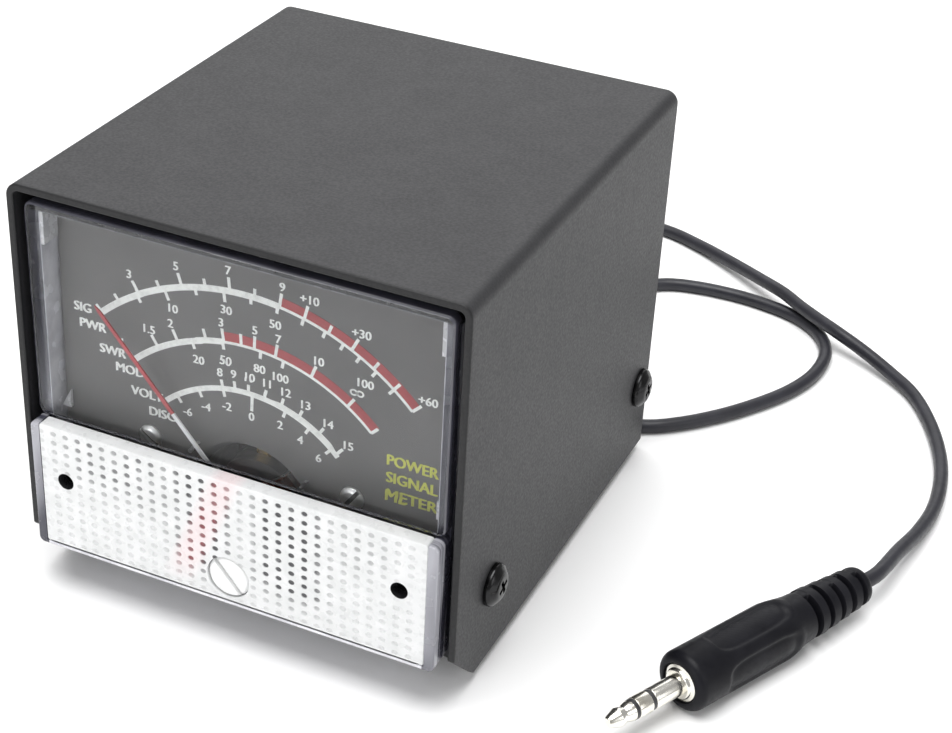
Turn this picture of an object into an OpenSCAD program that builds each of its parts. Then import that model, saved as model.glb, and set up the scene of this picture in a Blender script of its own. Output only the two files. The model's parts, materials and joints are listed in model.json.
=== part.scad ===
// Bench-top SWR and power meter: a folded steel case around a moving-coil
// panel meter, with a fixed signal lead that ends in a 3.5 mm plug.
// Origin: centre of the footprint, on the surface the feet stand on.
// +Z up, the dial faces -Y, +X is the right-hand side seen from the front.

/* [Case] */
// Outside width of the case
case_w = 75; // [74.5:0.1:76]
// Outside depth of the case
case_d = 82; // [80:0.5:84]
// Outside height of the case, without its feet
case_h = 69; // [68.5:0.1:70]
// Thickness of the folded sheet steel
sheet_t = 1.2; // [1:0.1:1.2]
// Outside radius of the folds along the top
fold_r = 2.2; // [2:0.1:3]
// Size of the cut across each side's lower front corner
corner_cut = 8; // [6:0.5:8]
// Distance from the case's front edge back to its front panel
panel_setback = 9.5; // [9.5:0.1:10]
// Height of the rubber feet
foot_h = 2; // [1.5:0.1:2.5]
// Diameter of the rubber feet
foot_d = 9; // [8:0.5:10]
// Head diameter of the case screws
case_screw_head = 7; // [6:0.1:7]

/* [Meter] */
// Width of the meter's front
meter_w = 70; // [69:0.5:70]
// Height of the meter's front
meter_h = 60; // [59:0.5:60]
// Height of the pale band across the lower front
band_h = 23; // [22.5:0.1:23.5]
// How far the band stands out in front of the case
band_out = 2; // [2:0.1:2]
// Wall thickness of the clear cover
clear_t = 2; // [2:0.1:2]
// Height of the pointer's axis above the meter's lower edge
pivot_up = 14.5; // [14.5:0.1:14.8]
// Length of the pointer from its axis to its tip
pointer_len = 38.5; // [37:0.1:38.5]
// Angle of the pointer left of upright, at rest on zero
zero_angle = 41; // [40:1:44]
// Angle that the pointer sweeps to full scale
sweep_angle = 88; // [84:1:90]

/* [Lead] */
// Diameter of the lead
cord_d = 2.6; // [2.4:0.1:2.6]
// Diameter of the plug's contacts
plug_d = 3.5; // [3.5:0.1:3.5]
// Length of the plug's contacts
plug_shaft = 14.5; // [14:0.1:14.8]
// Diameter of the plug's grip
grip_d = 10; // [9:0.5:10]

/* [Hidden] */
$fn = 64;

// Clearances: a running fit, a sliding fit and a loose hole
run_gap = 0.05;
slide_gap = 0.1;
hole_gap = 0.2;

// Case
case_z = foot_h;
case_top = case_z + case_h;
front_y = -case_d / 2;
rear_y = case_d / 2;
inner_w = case_w - 2 * sheet_t - 2 * slide_gap;
inner_top = case_top - sheet_t - slide_gap;
panel_y = front_y + panel_setback;
panel_back = panel_y + sheet_t;
side_flange_h = 22;
case_screw_r = 1.45;
case_screw_z = case_z + 14;
case_screw_ys = [panel_y + 3.5, rear_y - 5];
foot_x = case_w / 2 - 10.5;
foot_ys = [panel_y + 9.5, rear_y - 10];

// Meter housing
meter_z = case_z + 6.5;
meter_top = meter_z + meter_h;
window_y = front_y + 0.4;
window_t = 1.8;
band_y = front_y - band_out;
band_top = meter_z + band_h;
flange_t = 2.5;
flange_y = panel_y - flange_t;
barrel_r = 22;
barrel_wall = 1.6;
barrel_z = meter_z + 23;
barrel_end = -6;
barrel_floor = barrel_end - 2;
cover_screw_x = 29;
cover_screw_z = meter_z + 13.4;
mount_x = 28.5;
mount_zs = [meter_z + 4, meter_top - 4.5];
terminal_x = 10;
terminal_z = barrel_z + 8.5;

// Movement, placed from the dial and the pointer's axis
pivot_z = meter_z + pivot_up;
dial_y = front_y + 5.8;
dial_t = 0.6;
dial_back = dial_y + dial_t;
dial_screw = [17.4, pivot_z + 7.3];
notch_r = 11;
core_r = 7;
core_front = dial_y + 2.2;
core_back = core_front + 11;
coil_in = 7.6;
coil_mid = 8;
coil_out = 9;
coil_gap = 0.35;
former_t = 0.3;
winding_t = 0.6;
winding_front = core_front - coil_gap - former_t - winding_t;
winding_back = core_back + coil_gap + former_t + winding_t;
yoke_in = 9.6;
yoke_out = 11.6;
plate_y = dial_y + 2.7;
plate_t = 2;
post_x = 13.6;
post_r = 1.6;
staff_r = 0.5;
jewel_r = 1.45;
front_bridge_y = band_y + 3;
front_bridge_t = 0.7;
rear_bridge_y = winding_back + 2.55;
rear_bridge_t = 0.8;
lever_y = front_bridge_y + front_bridge_t + run_gap;
lever_t = 0.3;
front_spring_y = lever_y + lever_t + 0.25;
rear_spring_y = winding_back + 0.45;
spring_t = 0.5;
spring_r = 4.4;
pointer_y = front_y + 3.6;
stop_r = 12.4;
stop_angle = 5;
zero_z = meter_z + 5.2;
zero_off = 1;
knob_r = 3.6;

// Lead
cord_r = cord_d / 2;
cord_sides = 8;
cord_steps = 2;
exit_x = 12;
exit_z = 14;
grommet_r = 5.5;
grommet_out = 2;
exit_y = rear_y + grommet_out;
plug_len = 56.5;
plug_turn = 25.9;
plug_at = [60.9, -37.3, grip_d / 2];
plug_axis = [sin(plug_turn), cos(plug_turn), 0];
cord_end = plug_at + plug_len * plug_axis;
cord_route = [
    [exit_x, exit_y, exit_z], [12, 48, 14], [12, 54, 12.6], [12, 61, 8],
    [12, 68, 3.6], [12, 75, 1.6], [12.4, 82, 1.3], [13.6, 89, 1.3],
    [16.6, 95.5, 1.3], [21.5, 100, 1.3], [28, 102, 1.3], [36, 102.6, 1.3],
    [43, 101.9, 1.3], [49, 100.3, 1.3], [53.6, 97.6, 1.3], [57, 93.8, 1.3],
    [59, 89, 1.3], [59.5, 83.5, 1.3], [58.7, 77.3, 1.3], [56.2, 70.3, 1.3],
    [52, 62.9, 1.3], [47.2, 56.2, 1.3], [41.6, 50.2, 1.3], [36, 46.2, 1.3],
    [28, 44.2, 1.3], [18, 44, 1.3], [6, 45.5, 1.3], [-6, 49, 1.3],
    [-18, 56, 1.3], [-29, 67, 1.3], [-34, 82, 1.3], [-31, 98, 1.3],
    [-22, 112, 1.3], [-9, 120.5, 1.3], [3, 123.6, 1.3], [13.6, 123, 1.3],
    [22.5, 119.4, 1.5], [31.2, 114.2, 2.2], [39.2, 108.3, 3.3], [45.5, 103.4, 4.2],
    [50, 99.8, 4.25], [54.5, 96.6, 4.25], [60, 93.2, 4.1], [66, 90.5, 3.1],
    [72.5, 86.8, 2], [78.5, 81.8, 1.5], [83.8, 73.5, 1.3], [87.8, 64.1, 1.3],
    [90.1, 55.2, 1.3], [91, 45.6, 1.6], [90.4, 36, 2.6], [89, 27, 4],
    cord_end + 4.6 * plug_axis, cord_end
];
wire_r = 0.5;
wire_start_y = 28;
lug_back = -2.6;
red_route = [
    [12.6, wire_start_y - 0.1, 14.5], [12.6, 24, 15], [12, 17, 21],
    [11, 9, 29], [10, 2, 32.6], [10, -1, 33], [10, lug_back + 0.05, 33]
];
black_route = [
    [11.4, wire_start_y - 0.1, 13.5], [10.8, 24, 14], [4, 17, 19],
    [-5, 9, 27], [-9.6, 2, 32.4], [-10, -1, 33], [-10, lug_back + 0.05, 33]
];

// ---- Helpers ----

// A plate that faces the front: its outline is drawn in X and Z
module plate(y, t) {
    translate([0, y + t, 0])
        rotate([90, 0, 0])
            linear_extrude(t) children();
}

// A round bar along Y
module bar_y(x, z, y0, y1, r, sides = 48) {
    translate([x, y0, z])
        rotate([-90, 0, 0])
            cylinder(h = y1 - y0, r = r, $fn = sides);
}

// A washer or bush along Y
module ring_y(x, z, y0, y1, r_out, r_in) {
    difference() {
        bar_y(x, z, y0, y1, r_out);
        bar_y(x, z, y0 - 1, y1 + 1, r_in);
    }
}

// A hexagon nut along Y
module nut_y(x, z, y0, h, r_hex, r_in) {
    difference() {
        bar_y(x, z, y0, y0 + h, r_hex, 6);
        bar_y(x, z, y0 - 1, y0 + h + 1, r_in);
    }
}

// A rectangle with round corners, from its low to its high corner
module rounded_rect(low, high, r) {
    size = high - low;
    translate(low + [r, 0]) square([size.x - 2 * r, size.y]);
    translate(low + [0, r]) square([size.x, size.y - 2 * r]);
    for (x = [low.x + r, high.x - r], z = [low.y + r, high.y - r])
        translate([x, z]) circle(r = r);
}

// An outline with a square foot and round top corners
module arch(w, z_low, z_top, r) {
    translate([-w / 2, z_low]) square([w, z_top - z_low - r]);
    translate([-w / 2 + r, z_low]) square([w - 2 * r, z_top - z_low]);
    for (side = [-1, 1])
        translate([side * (w / 2 - r), z_top - r]) circle(r = r);
}

// Places a part on the pointer's axis, turned from upright
module at_pivot(angle = 0) {
    translate([0, 0, pivot_z]) rotate([0, angle, 0]) children();
}

module mirrored_x() {
    children();
    mirror([1, 0, 0]) children();
}

// A slotted screw head along Y that faces the front
module slotted_head(y0, h, r, slot_w, slot_d) {
    difference() {
        bar_y(0, 0, y0, y0 + h, r);
        translate([-r, y0 - 1, -slot_w / 2]) cube([2 * r, 1 + slot_d, slot_w]);
    }
}

function unit(v) = v / norm(v);

// A point on the smooth curve between b and c
function on_curve(a, b, c, d, t) =
    0.5 * (2 * b + (c - a) * t + (2 * a - 5 * b + 4 * c - d) * t * t
        + (3 * b - a - 3 * c + d) * t * t * t);

// Keeps a point of a lead high enough that the lead lies on the surface
function rested(v, r) = [v.x, v.y, max(v.z, r)];

// The route's points, with a smooth curve's points between them
function smooth_route(p, steps, r) = [
    for (i = [0 : len(p) - 2], k = [0 : steps - 1])
        rested(on_curve(p[max(i - 1, 0)], p[i], p[i + 1],
            p[min(i + 2, len(p) - 1)], k / steps), r),
    p[len(p) - 1]
];

// The direction of the curve at each point, square to its two end faces
function headings(p, q) = [
    for (i = [0 : len(q) - 1])
        i == 0 ? unit(p[1] - p[0])
        : i == len(q) - 1 ? unit(p[len(p) - 1] - p[len(p) - 2])
        : unit(q[i + 1] - q[i - 1])
];

// One ring of the tube around a point of the curve
function tube_ring(at, heading, r, sides) =
    let (side = unit(cross(heading, [0, 0, 1])), up = cross(side, heading))
    [for (k = [0 : sides - 1])
        at + r * (cos(360 * k / sides) * side + sin(360 * k / sides) * up)];

// A flexible lead as one closed tube along its route
module tube(route, r, sides, steps) {
    curve = smooth_route(route, steps, r);
    ways = headings(route, curve);
    last = len(curve) - 1;
    points = [for (i = [0 : last]) each tube_ring(curve[i], ways[i], r, sides)];
    walls = [
        for (i = [0 : last - 1], k = [0 : sides - 1])
            let (n = (k + 1) % sides, a = i * sides, b = a + sides)
            [a + k, b + k, b + n, a + n]
    ];
    start = [for (k = [0 : sides - 1]) k];
    end = [for (k = [sides - 1 : -1 : 0]) last * sides + k];
    polyhedron(points = points, faces = concat([start, end], walls));
}

// ---- Case ----

module case_cover() {
    color([0.27, 0.27, 0.28]) difference() {
        plate(front_y, case_d) difference() {
            arch(case_w, case_z, case_top, fold_r);
            arch(case_w - 2 * sheet_t, case_z - 1, case_top - sheet_t, fold_r - sheet_t);
        }
        translate([-case_w, 0, 0]) rotate([90, 0, 90]) linear_extrude(2 * case_w)
            polygon([
                [front_y - 1, case_z - 1], [front_y + corner_cut + 1, case_z - 1],
                [front_y - 1, case_z + corner_cut + 1]
            ]);
        for (y = case_screw_ys)
            translate([-case_w, y, case_screw_z]) rotate([0, 90, 0])
                cylinder(h = 2 * case_w, r = case_screw_r + hole_gap);
    }
}

module case_panel(y) {
    plate(y, sheet_t) translate([-inner_w / 2, case_z])
        square([inner_w, inner_top - case_z]);
}

module side_flanges() {
    for (side = [-1, 1])
        translate([side * (inner_w - sheet_t) / 2 - sheet_t / 2, panel_y, case_z])
            cube([sheet_t, rear_y - panel_y, side_flange_h]);
}

module case_base() {
    color([0.2, 0.2, 0.21]) difference() {
        union() {
            translate([-inner_w / 2, panel_y, case_z])
                cube([inner_w, rear_y - panel_y, sheet_t]);
            case_panel(panel_y);
            case_panel(rear_y - sheet_t);
            side_flanges();
        }
        bar_y(0, barrel_z, panel_y - 1, panel_back + 1, barrel_r + 0.4, 96);
        mirrored_x() for (z = mount_zs)
            bar_y(mount_x, z, panel_y - 1, panel_back + 1, 1.7);
        bar_y(exit_x, exit_z, rear_y - 3, rear_y + 1, 4);
        for (y = case_screw_ys)
            translate([-case_w, y, case_screw_z]) rotate([0, 90, 0])
                cylinder(h = 2 * case_w, r = case_screw_r + run_gap);
    }
}

// Pan head with a cross recess, and a short thread through both sheets
module case_screw() {
    head_r = case_screw_head / 2;
    difference() {
        rotate_extrude() polygon([
            [0, -3.8], [case_screw_r, -3.8], [case_screw_r, 0], [head_r, 0],
            [head_r, 0.6], [head_r - 0.3, 1.2], [head_r - 1, 1.7],
            [head_r - 2, 1.95], [0, 2]
        ]);
        for (turn = [0, 90]) rotate([0, 0, turn])
            translate([-1.7, -0.4, 0.9]) cube([3.4, 0.8, 2]);
    }
}

module case_screws() {
    color([0.06, 0.06, 0.06]) for (side = [-1, 1], y = case_screw_ys)
        translate([side * case_w / 2, y, case_screw_z])
            rotate([0, side * 90, 0]) rotate([0, 0, 20]) case_screw();
}

module rubber_feet() {
    color([0.08, 0.08, 0.08]) for (x = [-foot_x, foot_x], y = foot_ys)
        translate([x, y, 0]) rotate_extrude() polygon([
            [0, 0], [foot_d / 2 - 0.8, 0], [foot_d / 2 - 0.3, 0.3],
            [foot_d / 2, foot_h], [0, foot_h]
        ]);
}

// ---- Lead inside the case ----

module cord_grommet() {
    bore = cord_r + run_gap;
    neck = 3.9;
    color([0.07, 0.07, 0.07]) translate([exit_x, rear_y, exit_z])
        rotate([-90, 0, 0]) rotate_extrude() polygon([
            [bore, -2.7], [grommet_r - 0.6, -2.7], [grommet_r, -2.2],
            [grommet_r, -sheet_t], [neck, -sheet_t], [neck, 0], [grommet_r, 0],
            [grommet_r, 0.9], [grommet_r - 0.8, 1.6], [3, grommet_out],
            [bore, grommet_out]
        ]);
}

module inner_cord() {
    color([0.05, 0.05, 0.05])
        bar_y(exit_x, exit_z, wire_start_y, exit_y, cord_r, 32);
}

module cord_tie() {
    color([0.1, 0.1, 0.1]) {
        ring_y(exit_x, exit_z, rear_y - 6, rear_y - 3.6, 2.1, cord_r + run_gap);
        translate([exit_x - 1.6, rear_y - 6.3, exit_z + 2]) cube([3.2, 3, 2.2]);
    }
}

module lead_red() {
    color([0.75, 0.1, 0.08]) tube(red_route, wire_r, 8, 2);
}

module lead_black() {
    color([0.05, 0.05, 0.05]) tube(black_route, wire_r, 8, 2);
}

module solder_lugs() {
    color([0.8, 0.78, 0.7]) mirrored_x() difference() {
        plate(lug_back - 0.5, 0.5) {
            translate([terminal_x, terminal_z]) circle(r = 3);
            translate([terminal_x - 1, terminal_z - 8.5]) square([2, 7]);
        }
        bar_y(terminal_x, terminal_z, -10, 10, 1.5 + run_gap);
    }
}

// ---- Meter's terminals and fixings ----

module terminal_studs() {
    color([0.8, 0.65, 0.3]) mirrored_x() {
        bar_y(terminal_x, terminal_z, barrel_floor, 4, 1.5);
        bar_y(terminal_x, terminal_z, barrel_floor - 1.5, barrel_floor, 3, 6);
    }
}

module terminal_nuts() {
    color([0.8, 0.65, 0.3]) mirrored_x() {
        nut_y(terminal_x, terminal_z, barrel_end + 0.5, 2.4, 3.2, 1.5 + run_gap);
        nut_y(terminal_x, terminal_z, lug_back, 2.4, 3.2, 1.5 + run_gap);
    }
}

module terminal_washers() {
    color([0.75, 0.75, 0.75]) mirrored_x()
        ring_y(terminal_x, terminal_z, barrel_end, barrel_end + 0.5, 3.4, 1.5 + run_gap);
}

module mounting_studs() {
    color([0.8, 0.65, 0.3]) mirrored_x() for (z = mount_zs)
        bar_y(mount_x, z, panel_y, panel_y + 7, 1.5);
}

module mounting_washers() {
    color([0.75, 0.75, 0.75]) mirrored_x() for (z = mount_zs)
        ring_y(mount_x, z, panel_back, panel_back + 0.5, 3.4, 1.5 + run_gap);
}

module mounting_nuts() {
    color([0.7, 0.7, 0.7]) mirrored_x() for (z = mount_zs)
        nut_y(mount_x, z, panel_back + 0.5, 2.4, 3.1, 1.5 + run_gap);
}

// ---- Meter housing ----

module meter_cover() {
    half = meter_w / 2;
    back = flange_y;
    color([0.86, 0.88, 0.9, 0.5]) difference() {
        union() {
            difference() {
                union() {
                    plate(window_y, back - window_y)
                        rounded_rect([-half, meter_z], [half, meter_top], 1.5);
                    plate(band_y, window_y + 1 - band_y)
                        rounded_rect([-half, meter_z], [half, band_top], 1);
                }
                plate(window_y + window_t, back - window_y)
                    rounded_rect([-half + clear_t, meter_z + clear_t],
                        [half - clear_t, meter_top - clear_t], 1);
                plate(band_y + clear_t, back - band_y)
                    rounded_rect([-half + clear_t, meter_z + clear_t],
                        [half - clear_t, band_top - 1.8], 1);
            }
            mirrored_x() bar_y(cover_screw_x, cover_screw_z, band_y + 1, back, 3.2);
            bar_y(0, zero_z, band_y + 1, band_y + 2.8, 4.9);
        }
        mirrored_x() {
            bar_y(cover_screw_x, cover_screw_z, band_y - 1, band_y + 3.5, 1.9);
            bar_y(cover_screw_x, cover_screw_z, band_y, back + 1, 1.3);
        }
        bar_y(0, zero_z, band_y - 1, band_y + 1.6, knob_r + slide_gap);
        bar_y(0, zero_z, band_y, band_y + 4, 1.45);
    }
}

module cover_fix_screws() {
    color([0.05, 0.05, 0.05]) for (side = [-1, 1])
        translate([side * cover_screw_x, 0, cover_screw_z]) {
            slotted_head(band_y + 1.9, 1.6, 1.6, 0.5, 0.7);
            bar_y(0, 0, band_y + 3.5, flange_y + 2, 1.2);
        }
}

module meter_base() {
    half = meter_w / 2;
    color([0.09, 0.09, 0.09]) difference() {
        union() {
            plate(flange_y, flange_t)
                rounded_rect([-half, meter_z], [half, meter_top], 1.5);
            bar_y(0, barrel_z, panel_y, barrel_end, barrel_r, 96);
        }
        bar_y(0, barrel_z, flange_y - 1, barrel_floor, barrel_r - barrel_wall, 96);
        mirrored_x() {
            bar_y(cover_screw_x, cover_screw_z, flange_y - 1, flange_y + 2.1, 1.25);
            bar_y(terminal_x, terminal_z, barrel_floor - 1, barrel_end + 1, 1.5 + run_gap);
            bar_y(dial_screw.x, dial_screw.y, barrel_floor - 1, barrel_end + 1, 1.1);
        }
    }
}

module dial_plate() {
    half = meter_w / 2 - clear_t - 0.4;
    low = pivot_z + 3;
    high = meter_top - clear_t - 0.3;
    color([0.33, 0.33, 0.34]) plate(dial_y, dial_t) difference() {
        translate([-half, low]) square([2 * half, high - low]);
        translate([0, pivot_z]) circle(r = notch_r);
        for (side = [-1, 1])
            translate([side * dial_screw.x, dial_screw.y]) circle(r = 1.1);
    }
}

module dial_screws() {
    color([0.8, 0.8, 0.78]) for (side = [-1, 1])
        translate([side * dial_screw.x, 0, dial_screw.y]) {
            slotted_head(dial_y - 1.1, 1.1, 2, 0.5, 0.5);
            bar_y(0, 0, dial_y, plate_y + 1.2, 1);
        }
}

module pointer_stops() {
    color([0.75, 0.75, 0.75])
        for (angle = [-zero_angle - stop_angle, sweep_angle - zero_angle + stop_angle])
            at_pivot(angle) bar_y(0, stop_r, pointer_y - 0.5, dial_y, 0.35, 24);
}

// ---- Movement ----

module movement_frame() {
    color([0.6, 0.6, 0.58]) difference() {
        union() {
            plate(plate_y, plate_t) difference() {
                intersection() {
                    union() {
                        translate([0, pivot_z]) circle(r = 15.4);
                        translate([-dial_screw.x, dial_screw.y - 3])
                            square([2 * dial_screw.x, 6]);
                        for (side = [-1, 1])
                            translate([side * dial_screw.x, dial_screw.y]) circle(r = 2.4);
                    }
                    translate([0, barrel_z]) circle(r = barrel_r - barrel_wall - 0.3);
                }
                translate([0, pivot_z]) circle(r = yoke_out + run_gap);
            }
            mirrored_x()
                bar_y(dial_screw.x, dial_screw.y, dial_back, barrel_floor, 2.1);
        }
        mirrored_x() {
            bar_y(dial_screw.x, dial_screw.y, dial_back - 1, plate_y + 1.4, 1 + run_gap);
            bar_y(dial_screw.x, dial_screw.y, barrel_floor - 5, barrel_floor + 1, 1 + run_gap);
        }
    }
}

module frame_screws() {
    color([0.75, 0.75, 0.75]) for (side = [-1, 1])
        translate([side * dial_screw.x, 0, dial_screw.y]) {
            bar_y(0, 0, barrel_floor - 4, barrel_end, 1);
            difference() {
                bar_y(0, 0, barrel_end, barrel_end + 1.3, 2);
                translate([-3, barrel_end + 0.7, -0.3]) cube([6, 2, 0.6]);
            }
        }
}

module yoke_ring() {
    color([0.45, 0.45, 0.47])
        ring_y(0, pivot_z, core_front, core_back, yoke_out, yoke_in);
}

module core_magnet() {
    color([0.5, 0.5, 0.52]) bar_y(0, pivot_z, core_front, core_back, core_r);
}

// Brass bridges that hold the core in the yoke, above and below the axis
module core_cradle() {
    color([0.75, 0.6, 0.3]) difference() {
        for (side = [-1, 1])
            translate([-1.2, core_front + 2, pivot_z + side * (core_r + 1.3) - 1.4])
                cube([2.4, 7, 2.8]);
        bar_y(0, pivot_z, core_front, core_back, core_r + run_gap);
        ring_y(0, pivot_z, core_front, core_back, yoke_out + 2, yoke_in - run_gap);
    }
}

module bridge_posts() {
    color([0.78, 0.63, 0.3]) mirrored_x() difference() {
        union() {
            bar_y(post_x, pivot_z, front_bridge_y + front_bridge_t, plate_y, post_r);
            bar_y(post_x, pivot_z, plate_y + plate_t, rear_bridge_y, post_r);
        }
        bar_y(post_x, pivot_z, front_bridge_y, front_bridge_y + 3, 0.7);
        bar_y(post_x, pivot_z, rear_bridge_y - 3, rear_bridge_y + 1, 0.7);
    }
}

module bridge_outline(hole_r) {
    difference() {
        union() {
            translate([-post_x, pivot_z - 2]) square([2 * post_x, 4]);
            translate([0, pivot_z]) circle(r = 3);
            for (side = [-1, 1]) translate([side * post_x, pivot_z]) circle(r = 2);
        }
        translate([0, pivot_z]) circle(r = hole_r);
        for (side = [-1, 1]) translate([side * post_x, pivot_z]) circle(r = 0.8);
    }
}

module front_bridge() {
    color([0.8, 0.68, 0.35])
        plate(front_bridge_y, front_bridge_t) bridge_outline(jewel_r + run_gap);
}

// The rear bridge has a small tab that anchors the rear hairspring
module rear_bridge() {
    color([0.8, 0.68, 0.35]) {
        plate(rear_bridge_y, rear_bridge_t) bridge_outline(jewel_r + run_gap);
        translate([-0.5, rear_spring_y, pivot_z - spring_r - 0.9])
            cube([1, rear_bridge_y - rear_spring_y, 0.6]);
        translate([-0.5, rear_bridge_y, pivot_z - spring_r - 0.9])
            cube([1, rear_bridge_t, spring_r - 1]);
    }
}

module bridge_screws() {
    color([0.78, 0.78, 0.78]) mirrored_x() {
        bar_y(post_x, pivot_z, front_bridge_y - 0.7, front_bridge_y, 1.3);
        bar_y(post_x, pivot_z, front_bridge_y, front_bridge_y + 2.5, 0.65);
        bar_y(post_x, pivot_z, rear_bridge_y + rear_bridge_t,
            rear_bridge_y + rear_bridge_t + 0.8, 1.3);
        bar_y(post_x, pivot_z, rear_bridge_y - 2.5, rear_bridge_y + rear_bridge_t, 0.65);
    }
}

module front_jewel_screw() {
    color([0.85, 0.72, 0.4]) translate([0, 0, pivot_z]) difference() {
        slotted_head(front_bridge_y - 0.75, 1.9, jewel_r, 0.4, 0.5);
        bar_y(0, 0, lever_y - 0.6, lever_y + 2, staff_r + run_gap, 32);
    }
}

module rear_jewel_screw() {
    jewel_back = rear_bridge_y + rear_bridge_t + 1.8;
    color([0.85, 0.72, 0.4]) translate([0, 0, pivot_z]) difference() {
        bar_y(0, 0, rear_bridge_y - 0.8, jewel_back, jewel_r);
        bar_y(0, 0, rear_bridge_y - 2, rear_bridge_y + 0.3, staff_r + run_gap, 32);
        translate([-3, jewel_back - 0.5, -0.2]) cube([6, 2, 0.4]);
    }
}

module jewel_lock_nuts() {
    color([0.8, 0.68, 0.35]) {
        nut_y(0, pivot_z, front_bridge_y - 0.5, 0.5, 2.5, jewel_r + run_gap);
        nut_y(0, pivot_z, rear_bridge_y + rear_bridge_t, 1, 2.5, jewel_r + run_gap);
    }
}

// Flat spiral strip with a collet at its centre and its outer end at the
// angle of the tab that anchors it
module hairspring(y, end_angle) {
    turns = 3;
    steps = 72;
    strip = 0.2;
    inner = 0.95;
    pitch = (spring_r - inner) / steps;
    function spiral(i, off) =
        let (a = end_angle - 360 * turns * (1 - i / steps), r = inner + pitch * i + off)
        [r * sin(a), r * cos(a)];
    plate(y, spring_t) translate([0, pivot_z]) {
        polygon(concat(
            [for (i = [0 : steps]) spiral(i, 0)],
            [for (i = [steps : -1 : 0]) spiral(i, strip)]
        ));
        difference() {
            circle(r = 1.05, $fn = 32);
            circle(r = staff_r + run_gap, $fn = 32);
        }
    }
}

module rear_hairspring() {
    color([0.7, 0.5, 0.25]) hairspring(rear_spring_y, 180);
}

module front_hairspring() {
    color([0.7, 0.5, 0.25]) hairspring(front_spring_y, 0);
}

// Forked lever: its tab holds the front hairspring, and the fork straddles
// the zero screw's eccentric pin
module zero_lever() {
    reach = pivot_z - zero_z + zero_off;
    slot = 0.5 + 0.08;
    color([0.8, 0.68, 0.35]) {
        plate(lever_y, lever_t) difference() {
            union() {
                translate([0, pivot_z]) circle(r = 2.7);
                translate([-0.9, pivot_z - reach - 1.3]) square([1.8, reach]);
                translate([-1.6, pivot_z - reach - 1.3]) square([3.2, 2.8]);
                translate([-0.5, pivot_z + 2]) square([1, spring_r - 1.1]);
            }
            translate([0, pivot_z]) circle(r = jewel_r + run_gap);
            translate([-slot, pivot_z - reach - 2]) square([2 * slot, 2.9]);
        }
        translate([-0.5, lever_y + lever_t, pivot_z + spring_r + 0.3])
            cube([1, front_spring_y + spring_t - lever_y - lever_t, 0.6]);
    }
}

// Slotted knob in the band, with an eccentric pin behind
module zero_screw() {
    color([0.9, 0.92, 0.94]) translate([0, 0, zero_z]) {
        slotted_head(band_y + 0.1, 1.4, knob_r, 0.9, 0.7);
        bar_y(0, 0, band_y + 1.5, band_y + 2.85, 1.4);
        bar_y(0, 0, band_y + 2.85, band_y + 3.1, 1.9);
        bar_y(0, -zero_off, band_y + 3.1, lever_y + lever_t + 0.15, 0.5, 32);
    }
}

// ---- Moving coil and pointer ----

module coil_loop(x_out, x_in, y0, y1, wall, width) {
    difference() {
        translate([-x_out, y0, -width / 2]) cube([2 * x_out, y1 - y0, width]);
        translate([-x_in, y0 + wall, -width]) cube([2 * x_in, y1 - y0 - 2 * wall, 2 * width]);
    }
}

module coil_frame() {
    color([0.8, 0.8, 0.82]) at_pivot(-zero_angle)
        coil_loop(coil_mid, coil_in, winding_front + winding_t,
            winding_back - winding_t, former_t, 3.2);
}

module coil_winding() {
    color([0.65, 0.2, 0.1]) at_pivot(-zero_angle)
        coil_loop(coil_out, coil_mid, winding_front, winding_back, winding_t, 2.8);
}

module pivot_staff() {
    color([0.85, 0.85, 0.87]) at_pivot(-zero_angle) {
        bar_y(0, 0, winding_front - 0.3, winding_front, 1.3, 32);
        bar_y(0, 0, lever_y - 0.35, winding_front - 0.3, staff_r, 32);
        bar_y(0, 0, winding_back, winding_back + 0.3, 1.3, 32);
        bar_y(0, 0, winding_back + 0.3, rear_bridge_y, staff_r, 32);
    }
}

module pointer() {
    hub_w = 0.9;
    tip_w = 0.4;
    color([0.8, 0.15, 0.15]) at_pivot(-zero_angle) {
        difference() {
            union() {
                plate(pointer_y, 0.3) {
                    polygon([
                        [-hub_w / 2, 0], [-tip_w / 2, pointer_len - 1], [0, pointer_len],
                        [tip_w / 2, pointer_len - 1], [hub_w / 2, 0]
                    ]);
                    translate([-0.35, -7]) square([0.7, 7]);
                    translate([-4.5, -0.35]) square([9, 0.7]);
                }
                bar_y(0, 0, pointer_y - 0.3, pointer_y + 0.6, 1.3, 32);
            }
            bar_y(0, 0, pointer_y - 1, pointer_y + 1, staff_r + 0.02, 32);
        }
    }
}

// Small weights on the tail and on the cross arms
module balance_weights() {
    color([0.75, 0.6, 0.3]) at_pivot(-zero_angle) {
        translate([0, pointer_y + 0.65, -5.2]) cube([1.8, 0.7, 2.8], center = true);
        translate([0, pointer_y - 0.25, -5.2]) cube([1.8, 0.5, 2.8], center = true);
        for (x = [-3.7, 3.7])
            translate([x, pointer_y + 0.5, 0]) cube([0.9, 0.4, 1.2], center = true);
    }
}

// ---- Free lead and plug ----

module cord_tube() {
    color([0.05, 0.05, 0.05]) tube(cord_route, cord_r, cord_sides, cord_steps);
}

// Places a turned part on the plug's axis, measured back from its tip
module on_plug() {
    translate(plug_at) rotate([-90, 0, -plug_turn]) rotate_extrude($fn = 48) children();
}

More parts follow.
